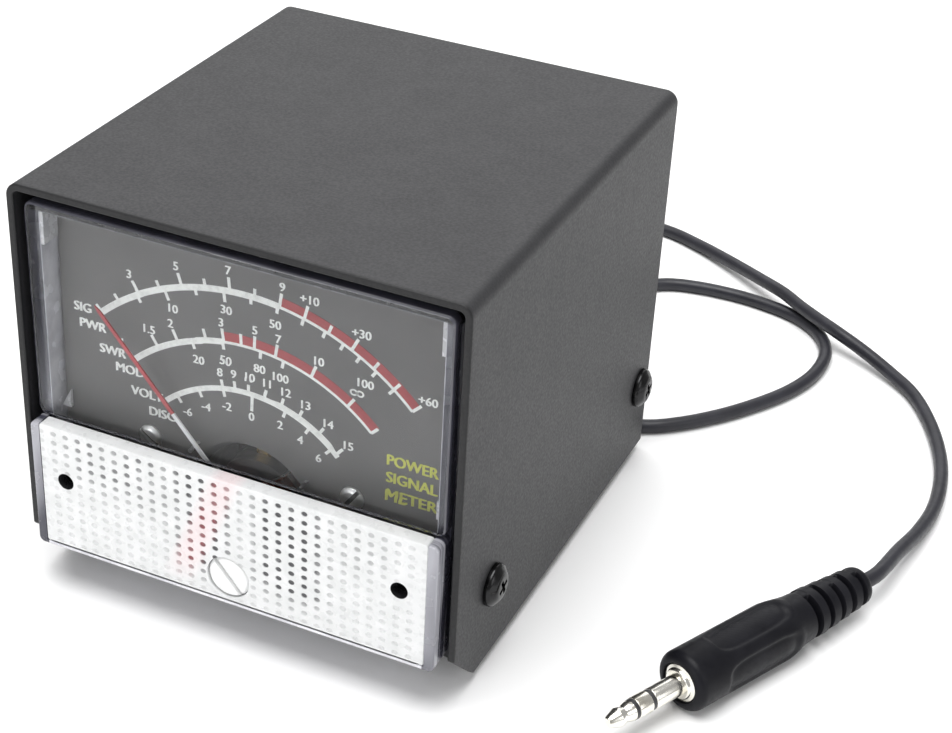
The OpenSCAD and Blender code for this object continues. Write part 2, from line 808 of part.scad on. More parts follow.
module plug_grip() {
    grip_r = grip_d / 2;
    front = plug_shaft + 2;
    ribs = 5;
    rib_start = 42;
    rib_pitch = (plug_len - rib_start) / ribs;
    color([0.07, 0.07, 0.07]) on_plug() {
        polygon([
            [0, front], [grip_r - 0.8, front], [grip_r - 0.2, front + 0.8],
            [grip_r, front + 2], [grip_r, front + 17], [grip_r - 0.4, front + 20],
            [grip_r - 0.7, front + 23], [4.1, rib_start], [0, rib_start]
        ]);
        for (i = [0 : ribs - 1])
            translate([0, rib_start + i * rib_pitch]) {
                square([2.6, rib_pitch]);
                square([4.1 - 0.2 * i, rib_pitch * 0.62]);
            }
    }
}

module plug_collar() {
    color([0.85, 0.85, 0.85]) on_plug()
        polygon([
            [1, plug_shaft], [2.6, plug_shaft], [3.1, plug_shaft + 0.5],
            [3.25, plug_shaft + 1], [3.25, plug_shaft + 2], [1, plug_shaft + 2]
        ]);
}

module plug_sleeve() {
    color([0.85, 0.85, 0.85]) on_plug()
        translate([1, 8.9]) square([plug_d / 2 - 1, plug_shaft - 8.9]);
}

module plug_ring() {
    color([0.85, 0.85, 0.85]) on_plug()
        translate([0.9, 5.5]) square([plug_d / 2 - 0.9, 2.7]);
}

module plug_insulators() {
    color([0.05, 0.05, 0.05]) on_plug() {
        translate([0.9, 4.8]) square([plug_d / 2 - 0.9, 0.7]);
        translate([0.9, 8.2]) square([plug_d / 2 - 0.9, 0.7]);
    }
}

module plug_tip() {
    color([0.85, 0.85, 0.85]) on_plug()
        polygon([
            [0, 0], [0.7, 0.1], [0.95, 0.35], [1.55, 2.1], [1.5, 2.5], [1.3, 3.1],
            [1.35, 3.5], [1.52, 4.1], [1.62, 4.8], [0.5, 4.8], [0.5, plug_shaft],
            [0, plug_shaft]
        ]);
}

case_cover();
case_base();
case_screws();
rubber_feet();
cord_grommet();
cord_tie();
inner_cord();
lead_red();
lead_black();
solder_lugs();
terminal_studs();
terminal_nuts();
terminal_washers();
meter_cover();
cover_fix_screws();
meter_base();
mounting_studs();
mounting_nuts();
mounting_washers();
dial_plate();
dial_screws();
pointer_stops();
movement_frame();
frame_screws();
yoke_ring();
core_magnet();
core_cradle();
bridge_posts();
front_bridge();
rear_bridge();
bridge_screws();
front_jewel_screw();
rear_jewel_screw();
jewel_lock_nuts();
rear_hairspring();
front_hairspring();
zero_lever();
zero_screw();
coil_frame();
coil_winding();
pivot_staff();
pointer();
balance_weights();
cord_tube();
plug_grip();
plug_collar();
plug_sleeve();
plug_ring();
plug_tip();
plug_insulators();
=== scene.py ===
import json
import math

import bmesh
import bpy
from mathutils import Matrix, Vector


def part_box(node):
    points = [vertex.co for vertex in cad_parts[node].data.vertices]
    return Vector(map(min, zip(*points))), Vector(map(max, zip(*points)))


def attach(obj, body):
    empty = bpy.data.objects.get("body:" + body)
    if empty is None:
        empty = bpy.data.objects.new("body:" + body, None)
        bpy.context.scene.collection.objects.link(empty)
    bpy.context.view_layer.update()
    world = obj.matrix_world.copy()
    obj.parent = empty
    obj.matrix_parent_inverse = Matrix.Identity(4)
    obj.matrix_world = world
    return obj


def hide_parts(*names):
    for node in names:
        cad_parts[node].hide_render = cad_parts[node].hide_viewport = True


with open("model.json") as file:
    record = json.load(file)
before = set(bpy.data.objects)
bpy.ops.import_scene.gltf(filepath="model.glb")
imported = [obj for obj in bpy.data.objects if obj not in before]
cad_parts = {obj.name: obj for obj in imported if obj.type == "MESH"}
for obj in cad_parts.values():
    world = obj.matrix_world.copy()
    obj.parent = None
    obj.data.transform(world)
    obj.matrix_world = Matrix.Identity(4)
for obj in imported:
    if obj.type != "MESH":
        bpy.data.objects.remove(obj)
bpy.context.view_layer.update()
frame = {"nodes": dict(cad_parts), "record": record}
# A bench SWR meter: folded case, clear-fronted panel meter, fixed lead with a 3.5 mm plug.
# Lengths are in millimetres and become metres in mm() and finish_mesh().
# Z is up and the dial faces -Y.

SCENE = bpy.context.scene


def mm(*values):
    return Vector([v * 0.001 for v in values])


def spin(degrees, axis):
    return Matrix.Rotation(math.radians(degrees), 4, axis)


def add_object(name, data):
    made = bpy.data.objects.new(name, data)
    SCENE.collection.objects.link(made)
    return made


def node_box(node):
    """Lowest and highest corner of a CAD node, in millimetres."""
    low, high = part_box(node)
    return low * 1000, high * 1000


# ---- Camera ----

camera_data = bpy.data.cameras.new("camera")
camera_data.sensor_width = 36
camera_data.lens = 74.06
camera_data.clip_start, camera_data.clip_end = 0.01, 20
camera = add_object("camera", camera_data)
camera.matrix_world = (
    Matrix.Translation(mm(125.42, -248.16, 200.11))
    @ spin(22.805, "Z")
    @ spin(90 - 31.549, "X")
    @ spin(3.262, "Z")
)
SCENE.camera = camera

# ---- Sizes that the CAD boxes give ----

CASE_LOW, CASE_HIGH = node_box("case_cover")
METER_LOW, METER_HIGH = node_box("meter_cover")
DIAL_LOW = node_box("dial_plate")[0]
BAND_Y = METER_LOW.y
WINDOW_Y = BAND_Y + 2.4
COVER_BACK = METER_HIGH.y
BAND_TOP = METER_LOW.z + 23
PIVOT_Z = METER_LOW.z + 14.5
ZERO_Z = METER_LOW.z + 5.2
FIX_X, FIX_Z = 29, METER_LOW.z + 13.4
SHEET = 1.2
FOLD = 2.2


# ---- Mesh helpers ----

def link(name, data, slot, replaces=(), materials=(), body="housing"):
    """Adds a piece that rides on a body. It has its slot's material, unless others are named."""
    piece = add_object(name, data)
    for material in materials or [NODE_MATERIALS[slot]]:
        data.materials.append(material)
    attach(piece, body)
    if replaces:
        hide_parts(*replaces)
    return piece


def finish_mesh(name, bm, sharp=35):
    """Turns a bmesh in millimetres into a mesh with smooth and sharp edges."""
    bmesh.ops.remove_doubles(bm, verts=bm.verts, dist=0.0005)
    bmesh.ops.recalc_face_normals(bm, faces=bm.faces)
    bmesh.ops.scale(bm, vec=(0.001, 0.001, 0.001), verts=bm.verts)
    mesh = bpy.data.meshes.new(name)
    bm.to_mesh(mesh)
    bm.free()
    mesh.shade_smooth()
    mesh.set_sharp_from_angle(angle=math.radians(sharp))
    return mesh


def bridge_rings(bm, rings):
    """Quads between closed rings of vertices that have the same length."""
    for lower, upper in zip(rings, rings[1:]):
        for i in range(len(lower)):
            j = (i + 1) % len(lower)
            bm.faces.new((lower[i], lower[j], upper[j], upper[i]))


def fillet(points, steps=4):
    """A profile of (a, b, radius) corners with each corner rounded."""
    out = []
    for i, (a, b, radius) in enumerate(points):
        corner = Vector((a, b))
        if radius <= 0 or i in (0, len(points) - 1):
            out.append(corner)
            continue
        back = (Vector(points[i - 1][:2]) - corner).normalized()
        ahead = (Vector(points[i + 1][:2]) - corner).normalized()
        half = back.angle(ahead) / 2
        if half > math.radians(88):
            out.append(corner)
            continue
        centre = corner + (back + ahead).normalized() * radius / math.sin(half)
        start = corner + back * radius / math.tan(half) - centre
        end = corner + ahead * radius / math.tan(half) - centre
        turn = start.angle_signed(end)
        for k in range(steps + 1):
            out.append(centre + Matrix.Rotation(-turn * k / steps, 2) @ start)
    return out


def lathe_into(bm, profile, place, sides):
    """Turns a profile of (radius, height) round the place's Z axis."""
    rings = []
    for radius, height in profile:
        if radius < 1e-6:
            rings.append([bm.verts.new(place @ Vector((0, 0, height)))])
            continue
        rings.append([
            bm.verts.new(place @ Vector((
                radius * math.cos(2 * math.pi * k / sides),
                radius * math.sin(2 * math.pi * k / sides),
                height,
            )))
            for k in range(sides)
        ])
    for lower, upper in zip(rings, rings[1:]):
        for k in range(sides):
            n = (k + 1) % sides
            if len(lower) == 1 and len(upper) == 1:
                break
            if len(lower) == 1:
                bm.faces.new((lower[0], upper[n], upper[k]))
            elif len(upper) == 1:
                bm.faces.new((lower[k], lower[n], upper[0]))
            else:
                bm.faces.new((lower[k], lower[n], upper[n], upper[k]))


def lathe(name, profile, place, sides=64):
    """A turned mesh."""
    bm = bmesh.new()
    lathe_into(bm, profile, place, sides)
    return finish_mesh(name, bm)


def facing_front(x, y, z):
    """A place whose Z axis points back along +Y from a point on the front."""
    return Matrix.Translation((x, y, z)) @ spin(-90, "X")


def block_into(bm, low, high):
    """A box from its low to its high corner."""
    corners = [
        bm.verts.new((x, y, z))
        for x in (low[0], high[0]) for y in (low[1], high[1]) for z in (low[2], high[2])
    ]
    for face in ((0, 1, 3, 2), (4, 6, 7, 5), (0, 4, 5, 1), (2, 3, 7, 6), (0, 2, 6, 4), (1, 5, 7, 3)):
        bm.faces.new([corners[i] for i in face])


def prism_into(bm, outline, y0, y1):
    """A solid whose outline is drawn in X and Z, between two depths."""
    front = [bm.verts.new((x, y0, z)) for x, z in outline]
    back = [bm.verts.new((x, y1, z)) for x, z in outline]
    bm.faces.new(front)
    bm.faces.new(back)
    bridge_rings(bm, [front, back])


def rounded_rect(low, high, radius, steps=6):
    """Points round a rectangle with round corners, in X and Z."""
    points = []
    corners = (
        (high[0], high[1], 0), (low[0], high[1], 90),
        (low[0], low[1], 180), (high[0], low[1], 270),
    )
    for x, z, start in corners:
        cx = x - radius if start in (0, 270) else x + radius
        cz = z - radius if start in (0, 90) else z + radius
        for k in range(steps + 1):
            a = math.radians(start + 90 * k / steps)
            points.append((cx + radius * math.cos(a), cz + radius * math.sin(a)))
    return points


def soften(piece, width, segments=3):
    """Rounds a piece's sharp edges by a small width."""
    bevel = piece.modifiers.new("soft_edges", "BEVEL")
    bevel.width = width * 0.001
    bevel.segments = segments
    bevel.limit_method = "ANGLE"
    bevel.angle_limit = math.radians(30)
    bevel.harden_normals = True


def cut(mesh, cutter_meshes, operation="DIFFERENCE"):
    """A new mesh: the first with the others cut away from it, or joined to it."""
    body = add_object("cut_body", mesh)
    helpers = []
    for cutter_mesh in cutter_meshes:
        helper = add_object("cut_tool", cutter_mesh)
        step = body.modifiers.new("cut", "BOOLEAN")
        step.object = helper
        step.operation = operation
        step.solver = "EXACT"
        helpers.append(helper)
    depsgraph = bpy.context.evaluated_depsgraph_get()
    result = bpy.data.meshes.new_from_object(body.evaluated_get(depsgraph))
    for helper in helpers + [body]:
        bpy.data.objects.remove(helper)
    return result


def add_to(target, bm, place):
    """Moves one bmesh to its place and adds it to another."""
    bmesh.ops.transform(bm, matrix=place, verts=bm.verts)
    mesh = bpy.data.meshes.new("part")
    bm.to_mesh(mesh)
    bm.free()
    target.from_mesh(mesh)


def smooth_by_angle(mesh, degrees):
    mesh.shade_smooth()
    mesh.set_sharp_from_angle(angle=math.radians(degrees))
    return mesh


# ---- Materials ----

class Finish:
    """A Principled material that gets its procedural detail step by step."""

    def __init__(self, name, colour, rough, metal=0.0, **constants):
        self.material = bpy.data.materials.new(name)
        self.material.use_nodes = True
        self.tree = self.material.node_tree
        self.shader = next(n for n in self.tree.nodes if n.type == "BSDF_PRINCIPLED")
        self.shader.inputs["Base Color"].default_value = (*colour, 1)
        self.shader.inputs["Roughness"].default_value = rough
        self.shader.inputs["Metallic"].default_value = metal
        for key, value in constants.items():
            socket = key.replace("_", " ").title().replace("Ior", "IOR")
            self.shader.inputs[socket].default_value = value
        self.place = self.tree.nodes.new("ShaderNodeTexCoord").outputs["Object"]

    def node(self, kind, **inputs):
        made = self.tree.nodes.new(kind)
        for key, value in inputs.items():
            self.feed(made.inputs[key.replace("_", " ")], value)
        return made

    def feed(self, socket, value):
        if isinstance(value, bpy.types.NodeSocket):
            self.tree.links.new(value, socket)
        else:
            socket.default_value = value

    def stretched(self, x, y, z):
        """The coordinates with each axis scaled, for grain that runs one way."""
        return self.node("ShaderNodeMapping", Vector=self.place, Scale=(x, y, z)).outputs[0]

    def noise(self, scale, detail=3.0, place=None):
        made = self.node("ShaderNodeTexNoise", Vector=place or self.place, Scale=scale, Detail=detail)
        return made.outputs["Fac"]

    def spread(self, value, low, high, to_low=0.0, to_high=1.0):
        """Maps a value from one range to another, and clamps it."""
        made = self.tree.nodes.new("ShaderNodeMapRange")
        for i, x in enumerate((value, low, high, to_low, to_high)):
            self.feed(made.inputs[i], x)
        return made.outputs[0]

    def maths(self, operation, a, b=0.0):
        made = self.tree.nodes.new("ShaderNodeMath")
        made.operation = operation
        self.feed(made.inputs[0], a)
        self.feed(made.inputs[1], b)
        return made.outputs[0]

    def times(self, a, b):
        return self.maths("MULTIPLY", a, b)

    def minus(self, a, b):
        return self.maths("SUBTRACT", a, b)

    def blend(self, factor, a, b):
        """A colour between two colours."""
        made = self.tree.nodes.new("ShaderNodeMix")
        made.data_type = "RGBA"
        self.feed(made.inputs[0], factor)
        self.feed(made.inputs[6], (*a, 1) if isinstance(a, tuple) else a)
        self.feed(made.inputs[7], (*b, 1) if isinstance(b, tuple) else b)
        return made.outputs[2]

    def colour(self, socket):
        self.feed(self.shader.inputs["Base Color"], socket)

    def rough(self, value, low, high):
        self.feed(self.shader.inputs["Roughness"], self.spread(value, 0.3, 0.7, low, high))

    def bump(self, height, strength, distance):
        """Adds a relief, distance in millimetres, over any that is there."""
        made = self.node("ShaderNodeBump", Height=height, Strength=strength, Distance=distance * 0.001)
        normal = self.shader.inputs["Normal"]
        if normal.is_linked:
            self.tree.links.new(normal.links[0].from_socket, made.inputs["Normal"])
        self.tree.links.new(made.outputs[0], normal)
        return self


def powder_coat():
    """Fine-texture powder coat, with painted shade that darkens the sheet's front edge."""
    f = Finish("case_paint", (0.03, 0.03, 0.032), 0.5, specular_ior_level=0.4)
    fine = f.noise(2300, 2)
    broad = f.noise(160, 5)
    speck = f.noise(5200, 1)
    base = f.blend(f.spread(broad, 0.35, 0.65), (0.02, 0.02, 0.022), (0.025, 0.025, 0.027))
    base = f.blend(f.spread(speck, 0.55, 0.8, 0, 0.3), base, (0.05, 0.05, 0.053))
    # Painted shade: the colour goes near black along the sheet's front edge, where the case looks dark.
    depth = f.node("ShaderNodeSeparateXYZ", Vector=f.place).outputs[1]
    rim = f.spread(depth, CASE_LOW.y / 1000 + 0.0002, CASE_LOW.y / 1000 + 0.0008, 1, 0)
    f.colour(f.blend(rim, base, (0.006, 0.006, 0.007)))
    f.rough(fine, 0.44, 0.6)
    f.bump(fine, 0.3, 0.05).bump(f.noise(700, 2), 0.2, 0.05)
    return f.material


def walls_with_painted_light():
    """The cover's clear walls with painted light and shade: pale inner faces painted for the light that
    comes through them, violet-grey and streaked along their depth where they are seen edge on, and painted
    shade that darkens the top."""
    f = Finish("cover_side", (0.5, 0.5, 0.53), 0.22, transmission_weight=0.1, ior=1.49)
    streak = f.noise(800, 2, f.stretched(0.05, 1, 0.03))
    parts = f.node("ShaderNodeSeparateXYZ", Vector=f.place)
    edge = f.blend(f.spread(streak, 0.44, 0.56), (0.05, 0.05, 0.07), (0.42, 0.42, 0.46))
    cloud = f.noise(260, 3)
    # Painted light: the pale inner faces stand for light coming through the clear walls.
    inner = f.blend(f.spread(cloud, 0.35, 0.65), (0.64, 0.64, 0.69), (0.88, 0.88, 0.92))
    outside = f.spread(f.maths("ABSOLUTE", parts.outputs[0]),
                       METER_HIGH.x / 1000 - 0.00195, METER_HIGH.x / 1000 - 0.00185)
    # Painted shade: the walls go near black along the top.
    top = f.spread(parts.outputs[2], METER_HIGH.z / 1000 - 0.0023, METER_HIGH.z / 1000 - 0.0018)
    f.colour(f.blend(top, f.blend(outside, inner, edge), (0.015, 0.015, 0.018)))
    f.rough(f.noise(300, 3), 0.15, 0.32)
    return f.material


def moulded(name, colour, rough, bump=0.15, grain=1500, **constants):
    """Satin moulded plastic or rubber, with a fine spark-eroded grain."""
    f = Finish(name, colour, rough, **constants)
    fine = f.noise(grain, 3)
    lighter = tuple(min(1, c * 1.5 + 0.004) for c in colour)
    f.colour(f.blend(f.spread(f.noise(180, 4), 0.35, 0.75), colour, lighter))
    f.rough(fine, rough - 0.07, rough + 0.08)
    f.bump(fine, bump, 0.03)
    return f.material


def metal(name, colour, rough, grain=(1, 1, 1), bump=0.08, tarnish=None):
    """Bare metal with fine machining marks and a light tarnish."""
    f = Finish(name, colour, rough, 1.0)
    marks = f.noise(900, 3, f.stretched(*grain))
    dull = tarnish or tuple(c * 0.72 for c in colour)
    f.colour(f.blend(f.spread(f.noise(260, 4), 0.4, 0.8), colour, dull))
    f.rough(marks, rough * 0.75, rough * 1.3)
    f.bump(marks, bump, 0.02)
    return f.material


def clear_plastic():
    """Clear moulded plastic with a faint wipe haze. Its index of refraction is lower than
    a real plastic's, which keeps the window's reflections weak."""
    f = Finish("clear_plastic", (0.96, 0.97, 0.985), 0.03, transmission_weight=1.0, ior=1.27)
    f.rough(f.noise(90, 4), 0.015, 0.06)
    return f.material


def dial_paint():
    """Matt dark grey paint, a little cloudy, lighter than the dial's own paint by a painted reflection of
    the window's haze.
    """
    f = Finish("dial_face", (0.1, 0.1, 0.096), 0.5)
    fine = f.noise(1400, 2)
    cloud = f.noise(95, 3)
    # Partly painted reflection: the grey is raised above the dial's own dark paint to stand for the
    # window's haze.
    f.colour(f.blend(f.spread(cloud, 0.3, 0.7), (0.127, 0.123, 0.119), (0.156, 0.15, 0.147)))
    f.rough(fine, 0.45, 0.6)
    f.bump(fine, 0.12, 0.02)
    return f.material


def ink(name, colour):
    """Screen-printed ink: slightly uneven, with a soft gloss."""
    f = Finish(name, colour, 0.5)
    faded = tuple(c * 0.82 for c in colour)
    f.colour(f.blend(f.spread(f.noise(1100, 3), 0.45, 0.75), colour, faded))
    f.bump(f.noise(2600, 2), 0.15, 0.01)
    return f.material


BAND_PITCH_X, BAND_PITCH_Z = 2.2, 1.68
BAND_ROW_Z = BAND_TOP - 1.3


def band_plastic():
    """Milky moulded prisms: pale facets, and a darker spot on each prism's flat, painted for the dark
    movement and the shade inside the case seen through it, most of all beside the middle. A red streak
    slants down to the knob, and the screw holes' walls are painted near-black as shade."""
    f = Finish("band_plastic", (0.82, 0.83, 0.83), 0.3, coat_weight=0.6, coat_roughness=0.08)
    parts = f.node("ShaderNodeSeparateXYZ", Vector=f.place)
    x = f.times(parts.outputs[0], 1000)
    z = f.times(parts.outputs[2], 1000)

    def distance(a, b):
        """The square of the distance that two steps at right angles make."""
        return f.maths("ADD", f.maths("POWER", f.maths("ABSOLUTE", a), 2),
                       f.maths("POWER", f.maths("ABSOLUTE", b), 2))

    def cell(value, start, pitch):
        """How far a value is from its nearest row or column, in pitches."""
        shifted = f.maths("DIVIDE", f.minus(value, start), pitch)
        return f.minus(shifted, f.maths("ROUND", shifted))

    across = f.times(cell(x, 0, BAND_PITCH_X), BAND_PITCH_X / 0.56)
    up = f.times(cell(z, BAND_ROW_Z, BAND_PITCH_Z), BAND_PITCH_Z / 0.45)
    on_face = f.spread(z, BAND_TOP - 0.35, BAND_TOP - 0.5)
    spot = f.times(f.spread(distance(across, up), 1.05, 0.45), on_face)

    def hump(centre, width):
        """1 at a column of the band, and 0 past a distance from it."""
        away = f.maths("DIVIDE", f.maths("ABSOLUTE", f.minus(x, centre)), width)
        return f.spread(away, 1.0, 0.35)

    low_rows = f.spread(z, METER_LOW.z + 1.5, METER_LOW.z + 7)
    shade = f.maths("MAXIMUM", hump(10.5, 8.5), f.times(hump(-4.5, 8), 0.9))
    high_rows = f.spread(z, METER_LOW.z + 9, METER_LOW.z + 16)
    sides = f.maths("MAXIMUM", hump(-19, 17), f.times(hump(22, 10), 0.5))
    sides = f.times(f.times(sides, high_rows), 0.6)
    shade = f.maths("MAXIMUM", f.times(shade, low_rows), sides)
    shade = f.maths("MAXIMUM", shade, 0.07)
    uneven = f.spread(f.noise(210, 2), 0.3, 0.6, 0.7, 1.35)
    # Partly painted shade: the spots darken for the dark movement and the shaded inside of the case seen
    # through the flats.
    amount = f.times(f.times(spot, shade), uneven)
    milky = f.blend(f.spread(f.noise(330, 3), 0.35, 0.7), (0.67, 0.68, 0.68), (0.75, 0.755, 0.76))
    slant = f.times(f.minus(z, METER_LOW.z + 15.5), -0.42)
    warm = f.spread(f.maths("ABSOLUTE", f.maths("ADD", f.maths("ADD", x, 3.4), slant)), 3.2, 1.2)
    dark = f.blend(warm, (0.035, 0.035, 0.04), (0.2, 0.02, 0.03))
    tint = f.times(f.times(warm, low_rows), 0.42)
    pale = f.blend(tint, milky, (0.85, 0.6, 0.62))
    across_hole = f.minus(f.maths("ABSOLUTE", x), FIX_X)
    off_hole = distance(across_hole, f.minus(z, FIX_Z))
    face = f.blend(amount, pale, dark)
    # Painted shade: the walls of the screw holes are coloured near black.
    f.colour(f.blend(f.spread(off_hole, 2.1, 2.0), face, (0.02, 0.02, 0.022)))
    f.rough(f.noise(700, 2), 0.22, 0.4)
    return f.material


CLEAR = clear_plastic()
BAND = band_plastic()
WALLS_PAINTED_LIGHT = walls_with_painted_light()
# Painted shade: the clear window's edge faces are coloured dark violet-grey where clear plastic would only
# look dark.
EDGE_PAINTED_DARK = moulded("cover_edge_painted_dark", (0.045, 0.045, 0.06), 0.12, 0.06, 260, coat_weight=0.8)
KNOB = moulded("knob_plastic", (0.82, 0.83, 0.83), 0.16, 0.04, 500,
               transmission_weight=0.1, ior=1.49, coat_weight=0.5)
# Partly painted light: pale milky plastic for the gussets, which stand partly for moulded corner blocks and
# partly for bright reflections there.
MILKY_PAINTED_LIGHT = moulded("milky_plastic_painted_light", (0.7, 0.7, 0.72), 0.25, 0.05, 700,
                transmission_weight=0.2, ior=1.49)
WHITE_INK = ink("white_ink", (0.94, 0.95, 0.91))
RED_INK = ink("red_ink", (0.42, 0.07, 0.075))
YELLOW_INK = ink("yellow_ink", (0.62, 0.64, 0.12))
CAST = metal("cast_alloy", (0.09, 0.09, 0.092), 0.45, bump=0.3)
NICKEL = metal("nickel_screw", (0.88, 0.88, 0.86), 0.42, bump=0.05)
POINTER_WHITE = moulded("pointer_white", (0.78, 0.78, 0.78), 0.35, 0.05)

NODE_MATERIALS = {
    "case_paint": powder_coat(), "clear_plastic": CLEAR,
    "dial_face": dial_paint(), "cast_alloy": CAST,
    "pointer_paint": moulded("pointer_red", (0.4, 0.045, 0.05), 0.35, 0.05),
    "cord_jacket": moulded("cord_jacket", (0.014, 0.014, 0.019), 0.42, 0.25, 900,
                           specular_ior_level=0.4),
    "plug_body": moulded("plug_body", (0.005, 0.005, 0.007), 0.42, 0.18, 1300,
                         specular_ior_level=0.13),
}
for slot, *look in (
    ("rubber", (0.018, 0.018, 0.019), 0.62, 0.3, 1100),
    ("black_plastic", (0.022, 0.022, 0.024), 0.36),
    ("red_wire", (0.5, 0.025, 0.02), 0.3, 0.1),
    ("black_wire", (0.02, 0.02, 0.02), 0.3, 0.1),
):
    NODE_MATERIALS[slot] = moulded(slot, *look)
for slot, *look in (
    ("black_screw", (0.035, 0.035, 0.036), 0.22, (1, 1, 1), 0.05),
    ("brass", (0.72, 0.5, 0.2), 0.26, (1, 0.15, 1)),
    ("steel", (0.62, 0.62, 0.63), 0.28, (1, 0.2, 1)),
    ("chrome", (0.9, 0.88, 0.82), 0.2, (1, 1, 1), 0.03, (0.7, 0.66, 0.55)),
    ("magnet", (0.22, 0.22, 0.235), 0.42, (0.2, 1, 1), 0.2),
    ("aluminium", (0.72, 0.73, 0.75), 0.3),
    ("copper_wire", (0.46, 0.13, 0.07), 0.3, (1, 6, 1), 0.6),
    ("spring_bronze", (0.58, 0.33, 0.14), 0.25),
):
    NODE_MATERIALS[slot] = metal(slot, *look)
for part in frame["record"]["subparts"]:
    mesh = frame["nodes"][part["node"]].data
    mesh.materials.clear()
    mesh.materials.append(NODE_MATERIALS[part["material_slot"]])

# ---- Lead ----

LEAD_R = 1.3
EXIT = (12, 43, 14)
PLUG_TIP = Vector((60.9, -37.3, 5))
PLUG_TURN = math.radians(25.9)
PLUG_WAY = Vector((math.sin(PLUG_TURN), math.cos(PLUG_TURN), 0))
PLUG_LENGTH = 56.5
LEAD_END = PLUG_TIP + PLUG_LENGTH * PLUG_WAY
# A point with no height lies on the surface.
ROUTE = [
    EXIT, (12, 48, 14), (12, 54, 12.6), (12, 61, 8),
    (12, 68, 3.6), (12, 75, 1.6), (12.4, 82), (13.6, 89),
    (16.6, 95.5), (21.5, 100), (28, 102), (36, 102.6),
    (43, 101.9), (49, 100.3), (53.6, 97.6), (57, 93.8),
    (59, 89), (59.5, 83.5), (58.7, 77.3), (56.2, 70.3),
    (52, 62.9), (47.2, 56.2), (41.6, 50.2), (36, 46.2),
    (28, 44.2), (18, 44), (6, 45.5), (-6, 49),
    (-18, 56), (-29, 67), (-34, 82), (-31, 98),
    (-22, 112), (-9, 120.5), (3, 123.48), (13.6, 122.9),
    (22.5, 119.4, 1.5), (31.2, 114.2, 2.2), (39.2, 108.3, 3.3), (45.5, 103.4, 4.2),
    (50, 99.8, 4.25), (54.5, 96.6, 4.25), (60, 93.2, 4.1), (66, 90.5, 3.1),
    (72.5, 86.8, 2), (78.5, 81.8, 1.5), (83.8, 73.5), (87.8, 64.1),
    (90.1, 55.2), (91, 45.6, 1.6), (90.4, 36, 2.6), (89, 27, 4),
    LEAD_END + 4.6 * PLUG_WAY, LEAD_END,
]
LEAD_ROUTE = [(tuple(p) + (LEAD_R,))[:3] for p in ROUTE]


def smooth_route(points, steps, lowest):
    """A smooth curve through the points, kept on or above the surface."""
    points = [Vector(p) for p in points]
    out = []
    for i in range(len(points) - 1):
        a, b = points[max(i - 1, 0)], points[i]
        c, d = points[i + 1], points[min(i + 2, len(points) - 1)]
        for k in range(steps):
            t = k / steps
            p = 0.5 * (2 * b + (c - a) * t + (2 * a - 5 * b + 4 * c - d) * t * t
                       + (3 * b - a - 3 * c + d) * t ** 3)
            p.z = max(p.z, lowest)
            out.append(p)
    return out + [points[-1]]


def lead_piece():
    data = bpy.data.curves.new("signal_lead", "CURVE")
    data.dimensions = "3D"
    data.bevel_depth = LEAD_R * 0.001
    data.bevel_resolution = 7
    data.use_fill_caps = True
    path = smooth_route(LEAD_ROUTE, 6, LEAD_R)
    spline = data.splines.new("POLY")
    spline.points.add(len(path) - 1)
    for point, at in zip(spline.points, path):
        point.co = (*mm(*at), 1)
    spline.use_smooth = True
    return link("signal_lead", data, "cord_jacket", ["cord_tube"])


lead = lead_piece()

# ---- Plug ----

SIDE_WAY = Vector((math.cos(PLUG_TURN), -math.sin(PLUG_TURN), 0))
PLUG_PLACE = Matrix((
    (SIDE_WAY.x, 0, PLUG_WAY.x, PLUG_TIP.x),
    (SIDE_WAY.y, 0, PLUG_WAY.y, PLUG_TIP.y),
    (0, 1, 0, PLUG_TIP.z),
    (0, 0, 0, 1),
))
# Round the plug, 0 degrees is sideways to the right and 90 degrees is up.


def step(x, low, high):
    """0 below low, 1 above high, and smooth between."""
    t = min(1, max(0, (x - low) / (high - low)))
    return t * t * (3 - 2 * t)


GRIP_R = 5.0
LINK_TURN = math.radians(108)
RELIEF_FROM = 42
RELIEF_CORE = 2.5


def grip_radius(u, angle):
    """The grip's radius at a distance from the plug's tip and an angle round it."""
    base = GRIP_R
    if u < 16.4:
        base -= 1.5 - math.sqrt(max(0, 2.25 - (16.4 - u) ** 2))
    base -= 0.9 * step(u, 34.5, 42)
    quarter = (angle + math.pi / 4) % (math.pi / 2) - math.pi / 4
    along, around = (u - 29.2) / 8.4, quarter * base / 3.1
    inside = (abs(along) ** 4 + abs(around) ** 4) ** 0.25
    rim = math.exp(-((inside - 1.05) / 0.07) ** 2)
    hollow = 1 - step(inside, 0.84, 1.0)
    ribs = 0.5 + 0.5 * math.cos((u + quarter * base * 0.8) * 2 * math.pi / 0.8)
    ribbed = 0.07 * ribs * (1 - step(inside, 0.6, 0.8))
    return min(GRIP_R, base + 0.1 * rim - 0.45 * hollow + ribbed)


def relief_radius(u, angle):
    """The ribbed strain relief behind the grip, with links across its slots."""
    pitch = (PLUG_LENGTH - RELIEF_FROM) / 5
    index = int(min(4, max(0, (u - RELIEF_FROM) // pitch)))
    local = (u - RELIEF_FROM - index * pitch) / pitch
    ring = 4.1 - 0.2 * index
    on_ring = step(local, 0.34, 0.44)
    if index == 4:
        on_ring *= math.sqrt(max(0, 1 - max(0, (local - 0.55) / 0.45) ** 2))
    linked = 0 if local > 0.5 else step(math.cos(angle - LINK_TURN - 0.5 * (index % 2)), 0.9, 0.96)
    return RELIEF_CORE + (ring - RELIEF_CORE) * max(on_ring, linked * 0.95)


